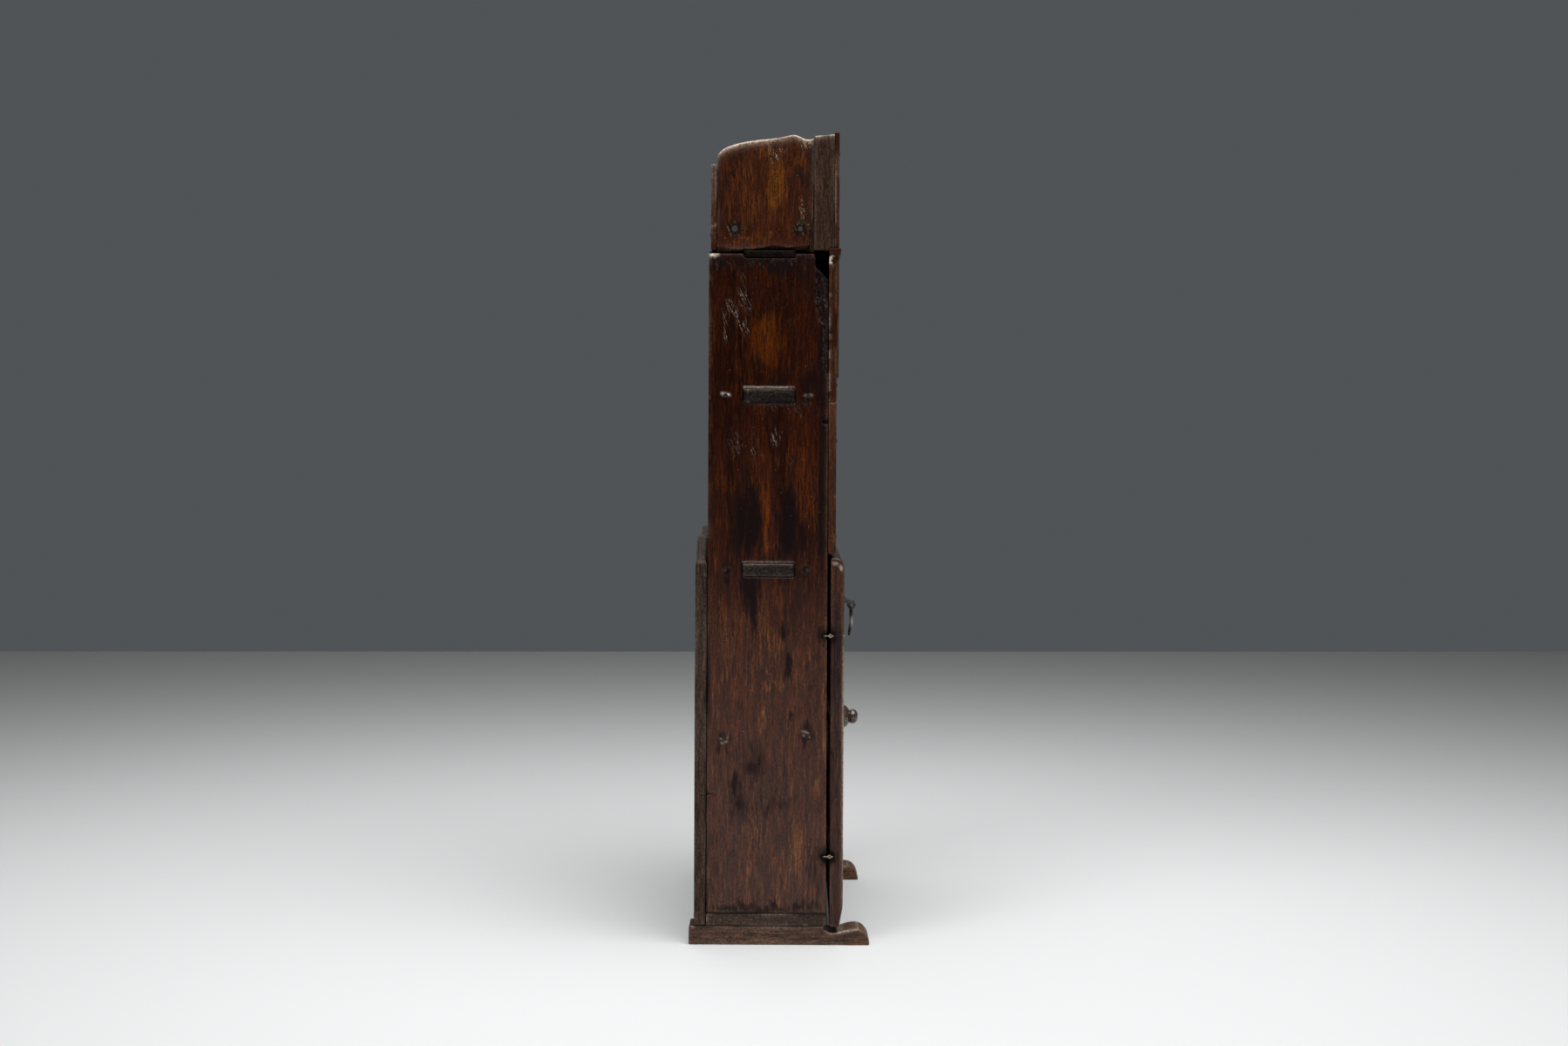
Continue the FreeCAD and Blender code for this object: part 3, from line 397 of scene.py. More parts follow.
def wood(slot, grain):
    """Old waxed or dry wood with its grain along one axis."""
    if (slot, grain) in made_woods:
        return made_woods[slot, grain]
    dark, body, light, amber, stain, rubbed, scratch = WOODS[slot]
    dry = slot in DRY_WOODS
    finish = DRY if dry else WAXED
    sh = Shader("%s_%s" % (slot, "xyz"[grain]))

    def along(across, lengthwise, tilt=0.0):
        """Coordinates stretched differently across the grain and along it."""
        return sh.place(tuple(lengthwise if axis == grain else across for axis in (X, Y, Z)), tilt)

    def off(value, share):
        """A share of how far a value lies from its middle."""
        return sh.math("MULTIPLY", sh.math("SUBTRACT", value, 0.5), share)

    # Patterns, from the largest to the finest
    figure = sh.noise(along(13, 1.7), 1.0, 5, 0.6, 1.2)
    patches = sh.noise(along(9, 3.4), 1.0, 6, 0.62, 0.6)
    streaks = sh.noise(along(70, 7), 1.0, 6, 0.68, 0.9)
    strands = sh.noise(along(330, 32), 1.0, 5, 0.68)
    mottle = sh.noise(sh.place((1, 1, 1)), 230, 5, 0.65)
    fibres = sh.noise(along(700, 60), 1.0, 4, 0.62)
    pores = sh.noise(along(1100, 60), 1.0, 1, 0.5)
    lines = sh.noise(along(230, 15, SCRATCH_TILT), 1.0, 2, 0.5, 0.3)
    tone = sh.math("ADD", sh.amount("tone"), 0.5)

    # Colour of the clean wood
    colour = sh.blend(sh.span(figure, 0.34, 0.64), dark, body)
    colour = sh.blend(sh.span(sh.math("ADD", streaks, off(strands, 0.9)), 0.42, 0.80, 0.0, 0.5), colour, light)
    # Painted reflection: case wood painted lighter turns greyer, as if hazed by the bright floor
    if slot == "case_wood":
        floor_haze = sh.span(tone, 0.45, 0.85)
        colour = sh.blend(sh.math("MULTIPLY", floor_haze, 0.42), colour, PAINTED_FLOOR_HAZE_BODY)
        amber = sh.blend(floor_haze, amber, PAINTED_FLOOR_HAZE_AMBER)
    warm = sh.math("ADD", sh.amount("amber"), sh.math("ADD", off(patches, 0.8), off(strands, 1.0)))
    warm = sh.span(sh.math("ADD", warm, off(streaks, 0.6)), 0.12, 1.0, 0.0, 0.9)
    colour = sh.blend(warm, colour, amber)
    golden = sh.math("MULTIPLY", sh.span(strands, 0.57, 0.70), sh.span(streaks, 0.42, 0.62))
    colour = sh.blend(sh.math("MULTIPLY", golden, 0.55), colour, amber)
    grain_shade = sh.math("ADD", sh.math("MULTIPLY", strands, 0.6), sh.math("MULTIPLY", fibres, 0.4))
    shade = sh.span(sh.math("ADD", grain_shade, off(mottle, 0.5)), 0.34, 0.68, 0.30, 1.60)
    # The lightness amount scales the colour here; on the left side board and at the hinge notches it is painted shade
    shade = sh.math("MULTIPLY", shade, sh.math("ADD", sh.math("MULTIPLY", tone, 1.3), 0.28))
    grey = sh.node("ShaderNodeCombineColor")
    for socket in ("Red", "Green", "Blue"):
        sh.put(shade, grey.inputs[socket])
    colour = sh.blend(1.0, colour, grey.outputs["Color"], "MULTIPLY")

    # Stains, pores and worm holes
    smudge = sh.math("ADD", sh.amount("dark"), sh.math("ADD", off(patches, -0.8), off(streaks, -0.9)))
    smudge = sh.math("ADD", smudge, off(strands, -0.7))
    stained = sh.span(smudge, 0.12, 1.05, 0.0, 0.95)
    colour = sh.blend(stained, colour, stain)
    pitted = sh.span(pores, *finish["pores"], 0.0, 0.85)
    if dry:
        holes = sh.span(sh.noise(along(330, 170), 1.0, 1, 0.5), 0.61, 0.65, 0.0, 0.95)
        pitted = sh.math("MAXIMUM", pitted, sh.math("MULTIPLY", holes, sh.span(patches, 0.42, 0.56)))
    colour = sh.blend(pitted, colour, stain)

    # Scratches, painted sparkle specks, rubbed places and painted highlights
    ridge = sh.math("ABSOLUTE", sh.math("SUBTRACT", lines, 0.5))
    marks = sh.math("MULTIPLY", sh.span(ridge, 0.022, 0.005), sh.amount("pale"))
    marks = sh.math("MULTIPLY", marks, sh.span(mottle, 0.42, 0.56))
    colour = sh.blend(marks, colour, scratch)
    # Tiny pale specks all over: painted sparkle of light
    sparkle_specks = sh.span(sh.noise(sh.place((1, 1, 0.6)), 390, 0), 0.84, 0.92, 0.0, 0.22)
    colour = sh.blend(sparkle_specks, colour, scratch)
    bare = sh.math("MULTIPLY", sh.amount("wear"), sh.span(mottle, 0.30, 0.7, 0.2, 1.0), True)
    colour = sh.blend(sh.math("MULTIPLY", bare, 0.85), colour, rubbed)
    # Painted highlights: the glint amount mixes a pale highlight colour into the base colour
    glint = sh.math("MULTIPLY", sh.amount("glint"), sh.span(mottle, 0.36, 0.60, 0.2, 1.0), True)
    colour = sh.blend(glint, colour, GLINT)
    sh.put(colour, sh.surface.inputs["Base Color"])

    # Gloss, shine and relief
    gloss = sh.span(sh.math("ADD", sh.math("MULTIPLY", mottle, 0.5), sh.math("MULTIPLY", strands, 0.5)),
                    0.3, 0.7, *finish["gloss"])
    shine = sh.span(tone, 0.0, 0.9, 0.02, finish["shine"])
    if slot == "turned_wood":
        gloss = sh.math("MULTIPLY", gloss, 0.5)
        shine = 0.8
    sh.put(sh.math("MULTIPLY", gloss, sh.math("SUBTRACT", 1.0, sh.math("MULTIPLY", bare, 0.35))),
           sh.surface.inputs["Roughness"])
    shine = sh.math("MULTIPLY", shine, sh.math("SUBTRACT", 1.0, sh.math("MULTIPLY", stained, 0.65)))
    sh.put(sh.math("ADD", shine, sh.math("MULTIPLY", bare, 0.30)), sh.surface.inputs["Specular IOR Level"])
    below = None
    for height, depth, strength in zip((streaks, mottle, strands, fibres), RELIEF_DEPTHS, finish["relief"]):
        below = sh.bump(height, depth, strength, below)
    below = sh.bump(sh.math("MULTIPLY", pitted, -1.0), PORE_DEPTH, 0.7, below)
    sh.put(below, sh.surface.inputs["Normal"])
    made_woods[slot, grain] = sh.material
    return sh.material


RUST = (0.045, 0.020, 0.011)
# Pale colour of the bail's rubbed band, which also paints its highlight
POLISH_AND_HIGHLIGHT_IRON = (0.62, 0.60, 0.58)
POLISH_FADE = 0.007


def iron(name, base, worn, rough, metallic, polish_and_highlight=None):
    """Iron with scale and some rust; the two heights, when given, bound a band rubbed bright, which is also a painted
    highlight.
    """
    sh = Shader(name)
    plain = sh.place((1, 1, 1))
    scale = sh.noise(plain, 700, 5, 0.65)
    rust = sh.noise(plain, 160, 4, 0.6)
    colour = sh.blend(sh.span(scale, 0.35, 0.75), base, worn)
    colour = sh.blend(sh.span(rust, 0.55, 0.8, 0.0, 0.5), colour, RUST)
    if polish_and_highlight:
        place = sh.node("ShaderNodeSeparateXYZ")
        sh.put(plain, place.inputs[0])
        middle = sum(polish_and_highlight) / 2
        away = sh.math("ABSOLUTE", sh.math("SUBTRACT", place.outputs["Z"], middle))
        bright = sh.math("MULTIPLY", sh.span(away, polish_and_highlight[1] - middle + POLISH_FADE, 0.0),
                         sh.span(scale, 0.25, 0.60, 0.35, 0.9))
        colour = sh.blend(bright, colour, POLISH_AND_HIGHLIGHT_IRON)
    sh.put(colour, sh.surface.inputs["Base Color"])
    sh.put(sh.span(scale, 0.3, 0.7, rough + 0.12, rough - 0.1), sh.surface.inputs["Roughness"])
    sh.surface.inputs["Metallic"].default_value = metallic
    sh.put(sh.bump(scale, 0.0005, 0.6), sh.surface.inputs["Normal"])
    return sh.material


# Stains, warm patches and scratches seen on the left side: y, z, half width and half height in millimetres, amount

SIDE_DARK = (
    (62, 832, 27, 78, 0.80), (-18, 834, 24, 64, 0.78), (20, 765, 70, 22, 0.45), (-42, 808, 9, 34, 0.60),
    (76, 794, 12, 34, 0.60), (-85, 1090, 15, 31, 0.70), (-86, 939, 9, 120, 0.80), (58, 698, 21, 52, 0.75),
    (55, 665, 10, 38, 0.85),
    (-5, 625, 7, 26, 0.80), (-17, 542, 7, 24, 0.70), (-48, 531, 5, 15, 0.40), (-21, 452, 6, 17, 0.75),
    (53, 350, 19, 34, 0.60), (92, 314, 14, 26, 0.65), (-77, 283, 7, 24, 0.50), (144, 294, 9, 24, 0.70),
    (29, 68, 140, 12, 0.75), (-66, 145, 21, 69, 0.42), (127, 171, 15, 94, 0.40), (80, 271, 24, 24, 0.45),
    (21, 277, 52, 17, 0.40), (111, 405, 15, 17, 0.65), (-53, 416, 15, 17, 0.65), (-92, 609, 14, 15, 0.70),
    (-51, 740, 14, 14, 0.60), (106, 736, 12, 17, 0.55), (111, 1085, 12, 9, 0.40), (-54, 1082, 15, 15, 0.50),
    # The wide band at the top, at 1350, is painted shadow cast by the protruding gallery cheek
    (38, 1350, 137, 20, 0.72), (-45, 1325, 20, 44, 0.50), (-64, 1098, 22, 34, 0.55), (29, 1112, 52, 14, 0.50),
    (-2, 722, 52, 9, 0.50), (71, 901, 10, 24, 0.50), (-27, 901, 9, 45, 0.50), (-63, 1296, 12, 45, 0.40),
)
SIDE_AMBER = (
    (28, 1193, 34, 44, 0.72), (117, 920, 14, 45, 0.60), (44, 1048, 17, 27, 0.30), (-45, 937, 14, 69, 0.50),
    (28, 846, 9, 72, 0.80), (-57, 853, 10, 43, 0.50), (106, 605, 15, 77, 0.50), (35, 637, 12, 60, 0.65),
    (22, 511, 43, 12, 0.50), (11, 590, 15, 34, 0.50), (34, 435, 9, 31, 0.60), (-88, 506, 4, 189, 0.55),
    (-34, 192, 17, 52, 0.50), (64, 211, 26, 60, 0.45), (-70, 310, 10, 31, 0.50), (60, 132, 9, 48, 0.60),
    (50, 566, 21, 52, 0.40), (-10, 128, 17, 38, 0.40), (91, 832, 7, 34, 0.35),
)
SIDE_PALE = (
    (115, 1240, 5, 12, 0.90), (112, 1226, 5, 12, 0.90), (109, 1212, 5, 10, 0.90), (102, 1261, 6, 11, 0.90),
    (94, 1247, 7, 11, 1.00), (86, 1232, 7, 12, 1.00), (78, 1217, 7, 11, 1.00), (71, 1204, 7, 10, 0.90),
    (80, 1300, 7, 14, 0.60), (74, 1280, 7, 14, 0.70), (67, 1260, 7, 14, 0.60), (92, 989, 12, 19, 0.60),
    (55, 993, 7, 22, 0.80), (11, 1000, 9, 15, 0.80), (-23, 941, 5, 19, 0.80), (88, 867, 7, 12, 0.80),
    (58, 860, 5, 15, 0.80), (87, 688, 5, 34, 0.90), (-44, 542, 7, 24, 0.50), (53, 613, 7, 3, 0.90),
    (-25, 526, 5, 19, 0.70), (46, 345, 12, 21, 0.50), (-52, 700, 5, 17, 0.50), (128, 825, 22, 3, 0.90),
    (-8, 1055, 52, 14, 0.20), (47, 1347, 103, 9, 0.15),
)
CHEEK_DARK = (
    # The first entry, at the lost front corner, is painted shade in the gap against the post
    (-62, 1392, 7, 34, 1.50), (-52, 1467, 12, 90, 0.60), (100, 1512, 5, 5, 1.00), (60, 1385, 90, 8, 0.30),
    (118, 1470, 12, 70, 0.50), (10, 1567, 9, 8, 0.90), (-36, 1512, 9, 12, 0.80), (-48, 1402, 10, 26, 0.70),
    (-58, 1560, 8, 30, 0.80), (40, 1557, 16, 3, 0.50), (27, 1545, 3, 12, 0.60),
)
CHEEK_AMBER = (
    (12, 1493, 20, 50, 0.95), (80, 1519, 26, 38, 0.40), (56, 1390, 52, 9, 0.50), (60, 1450, 40, 30, 0.35),
    (-32, 1540, 14, 22, 0.50), (26, 1570, 30, 14, 0.45),
)
CHEEK_PALE = ((13, 1567, 17, 12, 0.90), (-40, 1445, 7, 16, 1.00), (-50, 1575, 9, 14, 0.60), (25, 1553, 5, 8, 0.60))

# Pegs in the left cheek, and the height of its wavy lower edge: y and height in millimetres
PEG_PLACES = ((92, 1411), (-37, 1412))
CHEEK_WAVE_Y = (-62, -56, -8, 4, 21, 33, 44, 61, 98, 122, 130)
CHEEK_WAVE = (5, 7, 6, 9, 10, 6, 3, 1, 4, 8, 6)

# Ends of the shelves in the left side board, in millimetres: lowest and highest y, lowest and highest z
SHELF_ENDS = ((-27, 76, 1068, 1096), (-27, 76, 725.5, 752))

# Nail marks in the left side board: y, z, length and width in millimetres, tilt in degrees, strength of the painted
# highlight
NAIL_MARKS = (
    (110, 1085, 13, 2.4, 5, 1.0), (-53, 1083, 12, 2.2, -5, 0.35), (111, 407, 12, 1.8, -14, 0.32),
    (109, 399, 12, 1.8, -14, 0.32), (-50, 420, 12, 1.8, 16, 0.32), (-52, 412, 12, 1.8, 16, 0.32),
)
NAIL_RINGS = ((105, 736), (-49, 740))

# Small marks with places of their own, in metres
FRONT_CHIP = (OUTER_X, -0.0915, 1.031)
BACK_SPLIT = (OUTER_X, 0.144, 0.297)
BACK_CORNER = (OUTER_X, 0.138, 1.361)
CHEEK_CHIP = (OUTER_X, -0.063, 1.392)

# Radius in millimetres of the painted shade in the notches in which the hinges sit, and the two hinges' heights in
# metres
NOTCH = 14
eye_heights = read_points(nodes["case_hinge_eyes"].data)[:, Z]
eye_split = eye_heights.mean()
HINGE_Z = (eye_heights[eye_heights < eye_split].mean(), eye_heights[eye_heights > eye_split].mean())

# Top of the lower case, and the front edge of the side boards, in metres
LOWER_TOP_Z = 0.76
SIDE_FRONT_Y = -0.0905

# Painted shade and light of the left side board by height in metres: darker towards the top, lighter towards the floor
SIDE_SHADE_Z = (0.0, 0.30, 0.55, 0.80, 1.05, 1.36)
SIDE_SHADE = (0.84, 0.88, 0.80, 0.42, 0.24, 0.21)

# Change of tone of the lower door's hinge stile by height in metres
STILE_TONE_Z = (0.0, 0.25, 0.45, 0.62, 0.76)
STILE_TONE = (-0.06, -0.02, 0.06, 0.0, -0.14)

# Inner boundary of the broken strip along the upper front edge of the left side board, in millimetres
BROKEN_Z = (1085, 1122, 1137, 1158, 1196, 1222, 1256, 1290, 1340, 1363)
BROKEN_Y = (-98, -91, -84, -81, -83, -78, -70, -67, -65, -65)


# Shapes and amounts of wear, piece by piece. Bare places are in metres; fade, bell, dash and on_face take millimetres

def spots(points, places, seed, soft=0.6):
    """Patches with ragged outlines, drawn out along the height; the strongest counts where several meet."""
    moved = points.copy()
    moved[:, Y] += (on_face(points, 12, 60, seed) - 0.5) * 18 * MM
    moved[:, Z] += (on_face(points, 8, 30, seed + 3) - 0.5) * 60 * MM
    total = np.zeros(len(points))
    for y, z, half_width, half_height, amount in places:
        patch = blob(moved, (0, y * MM, z * MM), (None, half_width * MM, half_height * MM), soft)
        total = np.maximum(total, amount * patch)
    return total


def dash(points, y, z, length, width, tilt):
    """1 along a short straight mark on the side, 0 away from it; lengths in millimetres, tilt in degrees."""
    across = points[:, Y] - y * MM
    up = points[:, Z] - z * MM
    turn = math.radians(tilt)
    along = across * math.cos(turn) + up * math.sin(turn)
    aside = up * math.cos(turn) - across * math.sin(turn)
    beyond = np.maximum(np.abs(along) - 0.5 * length * MM, 0)
    return bell(np.hypot(beyond, aside), width)


def near_hinges(points, radius):
    """1 at the notches of the lower door's hinges, where painted shade goes."""
    total = np.zeros(len(points))
    for z in HINGE_Z:
        away = np.hypot(points[:, Y] - DOOR_AXIS[Y], points[:, Z] - z)
        total = np.maximum(total, smoothstep(1.25 * radius * MM, 0.8 * radius * MM, away))
    return total


def rubbed_stretches(points):
    """1 where the upper edge of a shelf's end is rubbed, 0 between."""
    return smoothstep(0.40, 0.60, on_face(points, 24, EVEN, 43))


def shelf_ends(points):
    """Painted shade in the joints round the shelves' ends in the left side board, and the rubbed edge above each, which
    also carries a painted highlight.
    """
    joint = np.zeros(len(points))
    rim = np.zeros(len(points))
    for front, back, bottom, top in SHELF_ENDS:
        away_y = np.maximum(front * MM - points[:, Y], points[:, Y] - back * MM)
        away_z = np.maximum(bottom * MM - points[:, Z], points[:, Z] - top * MM)
        away = np.hypot(np.maximum(away_y, 0), np.maximum(away_z, 0))
        joint = np.maximum(joint, 1.3 * fade(away, 3.5))
        # The upper rim is rubbed wear with a painted highlight
        upper_edge = bell(points[:, Z] - top * MM - 2 * MM, 2) * (away_y < 0)
        rim = np.maximum(rim, upper_edge * rubbed_stretches(points))
    return joint, rim


def nail_marks(points):
    """Dark spots, worn strokes and painted highlights of the nails in the left side board."""
    dark = np.zeros(len(points))
    worn = np.zeros(len(points))
    shine = np.zeros(len(points))
    for *mark, bright in NAIL_MARKS:
        stroke = dash(points, *mark)
        worn = np.maximum(worn, stroke)
        shine = np.maximum(shine, bright * stroke)
    for y, z in NAIL_RINGS:
        away = np.hypot(points[:, Y] - y * MM, points[:, Z] - z * MM)
        dark = np.maximum(dark, 1.4 * bell(away, 7))
        worn = np.maximum(worn, 0.3 * bell(away - 9 * MM, 2.5))
    return dark, worn, shine


def broken_depth(points):
    """How far a point of the left side board lies beyond the broken strip's ragged boundary."""
    edge = np.interp(points[:, Z], np.array(BROKEN_Z) * MM, np.array(BROKEN_Y) * MM)
    ragged = (on_face(points, 30, 13, 7, 4) - 0.5) * 14 * MM
    return np.where(points[:, X] < OUTER_X + 10 * MM, edge + ragged - points[:, Y], -1.0)


def side_shape(points, low):
    """Broken front strip, a chip below it and a split at the back edge."""
    broken = smoothstep(-0.5 * MM, 1.5 * MM, broken_depth(points))
    depth = (2.5 + 5.5 * on_face(points, 8, 16, 19)) * MM * broken
    chip = blob(points, FRONT_CHIP, (THROUGH, 0.010, 0.005), 0.3)
    split = blob(points, BACK_SPLIT, (THROUGH, 0.014, 0.0022), 0.5)
    points[:, X] += depth + 7 * MM * chip + 6 * MM * split
    return points


def side_paint(points, low, high):
    """Stains, warm patches, scratches, nails, joints and rubbed edges of the left side board."""
    outer = points[:, X] < OUTER_X + 13 * MM
    height = points[:, Z]
    beyond = broken_depth(points)
    broken = smoothstep(-1.5 * MM, 0.5 * MM, beyond)
    # Pale flecks along the broken boundary, laid in as wear: painted highlights
    flecks = smoothstep(0.50, 0.62, on_face(points, 4, 7, 23, 2)) * fade(np.abs(beyond), 1.5)
    chip = blob(points, FRONT_CHIP, (THROUGH, 0.012, 0.006), 0.3)
    # The back top corner is rubbed and carries a painted highlight
    corner = blob(points, BACK_CORNER, (THROUGH, 0.012, 0.006), 0.5)
    joint, rim = shelf_ends(points)
    nail_dark, worn, shine = nail_marks(points)
    hinges = near_hinges(points, NOTCH)
    # Painted shade by height: darker towards the top, lighter towards the floor
    tone = np.interp(height, SIDE_SHADE_Z, SIDE_SHADE) - 0.5

    stains = np.where(height < 0.70, 1.32, 1.45) * spots(points, SIDE_DARK, 3, 0.85)
    wander = 8 * MM * (on_face(points, 20, 50, 47) - 0.5)
    grime = smoothstep(-70 * MM, -79 * MM, points[:, Y] + wander) * smoothstep(0.72, 0.80, height)
    grime = grime * (0.8 + 0.7 * on_face(points, 20, 45, 49))
    # Painted shade along the back edge and the bottom edge of the lower case, where the board meets the planks and the
    # bottom
    edges = np.maximum(fade(high[Y] - points[:, Y], 3.5), fade(height - low[Z], 3.5)) * (height < LOWER_TOP_Z)
    # Painted shade in the hinge notches, with a wider halo, and round the shelf ends; the lightness amount drops at the
    # notches as well
    dark = np.maximum.reduce([stains, joint, nail_dark, 1.6 * hinges, 0.7 * near_hinges(points, 24), grime,
                              2.0 * edges, 1.6 * broken, 1.6 * chip])
    # Painted highlight on the lower front arris, laid in as amber
    lit_arris = smoothstep(0.78, 0.74, height) * fade(np.abs(points[:, Y] - SIDE_FRONT_Y), 2.0)
    amber = np.maximum(spots(points, SIDE_AMBER, 5, 0.85), 0.4 * lit_arris) * (1 - broken)
    scratched = spots(points, SIDE_PALE, 9) * (1 - broken) * smoothstep(0.85, 1.10, height)
    # Painted highlights on the nails and on the shelves' rubbed upper rims
    glint = np.maximum(shine, rim * np.where(height > 1.0, 0.65, 0.12))
    return {"dark": outer * dark,
            "amber": outer * amber,
            "pale": outer * np.maximum(scratched, 0.16 * broken),
            "glint": np.maximum(0.7 * corner, outer * glint),
            "wear": 0.9 * corner + outer * np.maximum(0.5 * worn, 0.8 * rim) + 0.4 * flecks,
            "tone": outer * np.where(np.maximum(broken, hinges) > 0.5, -0.5, tone)}


def foot_paint(points, low, high):
    """Warm, lighter rubbed toe with a painted highlight streak on it, and painted shade along the joint under the
    bottom board.
    """
    toe = smoothstep(-0.115, -0.185, points[:, Y])
    rest_z = points[points[:, Y] > 0, Z].max()
    joint = (points[:, Y] > -0.095) * fade(np.abs(points[:, Z] - rest_z), 2.5)
    return {"amber": 0.20 + 0.25 * toe, "glint": 0.4 * dash(points, -136, 28, 40, 1.3, -9), "dark": 1.3 * joint,
            "tone": 0.10 * toe}


def bottom_paint(points, low, high):
    """Dark greyish ends with painted shade along the top, and a faint share of the painted highlight colour that greys
    them.
    """
    end = smoothstep(0.31, 0.33, np.abs(points[:, X]))
    return {"dark": end * (0.45 + 1.3 * fade(high[Z] - points[:, Z], 2.5)), "glint": 0.035 * end}


def plank_paint(points, low, high):
    """Painted shade in the joint where the edge of a back plank meets the side board or the next plank."""
    face = np.minimum(points[:, X] - low[X], high[X] - points[:, X]) < 3 * MM
    return {"dark": 2.0 * face * bell(points[:, Y] - low[Y], 3.0), "amber": 0.25 * face}


def shelf_paint(points, low, high):
    """Scratched dark ends with a rubbed upper edge."""
    end = smoothstep(0.322, 0.328, np.abs(points[:, X]))
    edge = fade(high[Z] - points[:, Z], 1.6) * rubbed_stretches(points)
    return {"pale": 0.35 * end, "wear": 0.9 * end * edge, "dark": 0.40 * end}


def door_stile_paint(points, low, high):
    """Rubbed front arris with a painted highlight, cracks, chips with painted highlights, and painted shade in the
    hinge notches of the lower door's hinge stile.
    """
    outer = points[:, X] < low[X] + 3 * MM
    inwards = points[:, Y] - low[Y]
    hinges = near_hinges(points, NOTCH)
    # Front arris: a pale rubbed line that is also painted highlight, and a thin painted highlight line lower down
    front = bell(inwards, 4.5) * smoothstep(0.75, 0.50, points[:, Z]) * (points[:, X] < low[X] + 14 * MM)
    lit = bell(inwards, 2.4) * (points[:, X] < low[X] + 8 * MM)
    lit = lit * smoothstep(0.64, 0.52, points[:, Z]) * smoothstep(0.17, 0.23, points[:, Z])
    cracks = np.maximum(dash(points, -100, 382, 16, 2.0, 60), dash(points, -104, 374, 12, 2.0, 80))
    chips = outer * np.maximum(dash(points, -119, 744, 6, 3.0, 70), dash(points, -108, 752, 6, 2.5, 0))
    dark = np.maximum.reduce([1.6 * hinges, 0.5 * near_hinges(points, 22), cracks])
    tone = np.interp(points[:, Z], STILE_TONE_Z, STILE_TONE)
    return {"dark": outer * dark,
            "amber": outer * 0.5 * fade(np.abs(inwards), 7),
            "wear": np.maximum(front, 0.8 * chips),
            "glint": np.maximum(0.5 * chips, 0.5 * lit),
            "tone": outer * np.where(hinges > 0.5, -0.5, tone)}


def faded_paint(points, low, high):
    """Faintly rubbed all over."""
    return {"wear": np.full(len(points), 0.13)}


def face_paint(points, low, high):
    """Painted highlights along the back arris of the upper face stile, the brightest at its top."""
    outer = points[:, X] < low[X] + 4 * MM
    arris = fade(high[Y] - points[:, Y], 2.0) * smoothstep(0.48, 0.66, on_face(points, EVEN, 16, 73))
    corner = blob(points, (OUTER_X, high[Y] - 3 * MM, high[Z] - 12 * MM), (THROUGH, 0.006, 0.012), 0.5)
    flecks = smoothstep(0.52, 0.62, noise(points, 5 * MM, 75))
    return {"glint": outer * np.maximum(0.40 * arris, 0.9 * corner * flecks)}


def fascia_paint(points, low, high):
    """Painted highlight on the lit back arris at the left end of the gallery's front board, and its dark top."""
    outer = points[:, X] < low[X] + 5 * MM
    lit = bell(points[:, Z] - 1.478, 55) * fade(high[Y] - points[:, Y], 1.6)
    return {"glint": 0.5 * outer * lit, "dark": 0.35 * outer * (points[:, Z] > 1.53)}


def cheek_shape(points, low):
    """Wavy chipped lower edge of the left cheek's outer face, and its lost front corner."""
    points[:, X] += 8 * MM * blob(points, CHEEK_CHIP, (THROUGH, 0.006, 0.034), 0.4)
    wave = np.interp(points[:, Y], np.array(CHEEK_WAVE_Y) * MM, np.array(CHEEK_WAVE) * MM)
    wave = wave + (on_face(points, 12, EVEN, 29) - 0.5) * 3 * MM
    outward = smoothstep(OUTER_X + 15 * MM, OUTER_X + 4 * MM, points[:, X])
    points[:, Z] += np.maximum(wave, 0) * outward * smoothstep(18 * MM, 0, points[:, Z] - low[Z])
    return points


def cheek_paint(points, low, high):
    """Stains, warm patches and scratches of the left cheek, rays of dark and pale round its pegs, painted shade at its
    lost front corner, and a painted highlight along its lower edge.
    """
    outer = points[:, X] < OUTER_X + 15 * MM
    dark = spots(points, CHEEK_DARK, 13)
    pale = spots(points, CHEEK_PALE, 17)
    for y, z in PEG_PLACES:
        across, up = points[:, Y] - y * MM, points[:, Z] - z * MM
        away = np.hypot(across, up)
        rays = 0.5 + 0.5 * np.sin(np.arctan2(up, across) * 11 + 3 * noise(points, 9 * MM, 37))
        dark = np.maximum(dark, 2.4 * bell(away, 15) * (0.7 + 0.3 * rays))
        pale = np.maximum(pale, 0.8 * (1 - rays) * bell(away - 11 * MM, 5))
    # A warm, rubbed lower edge: painted highlight of the lit lower arris, with some wear
    under = fade(points[:, Z] - low[Z], 5)
    return {"dark": outer * dark,
            "amber": outer * np.maximum(spots(points, CHEEK_AMBER, 15, 0.85), 0.8 * under),
            "pale": outer * pale,
            "wear": 0.5 * outer * under}


# The pieces, one call for each wooden node

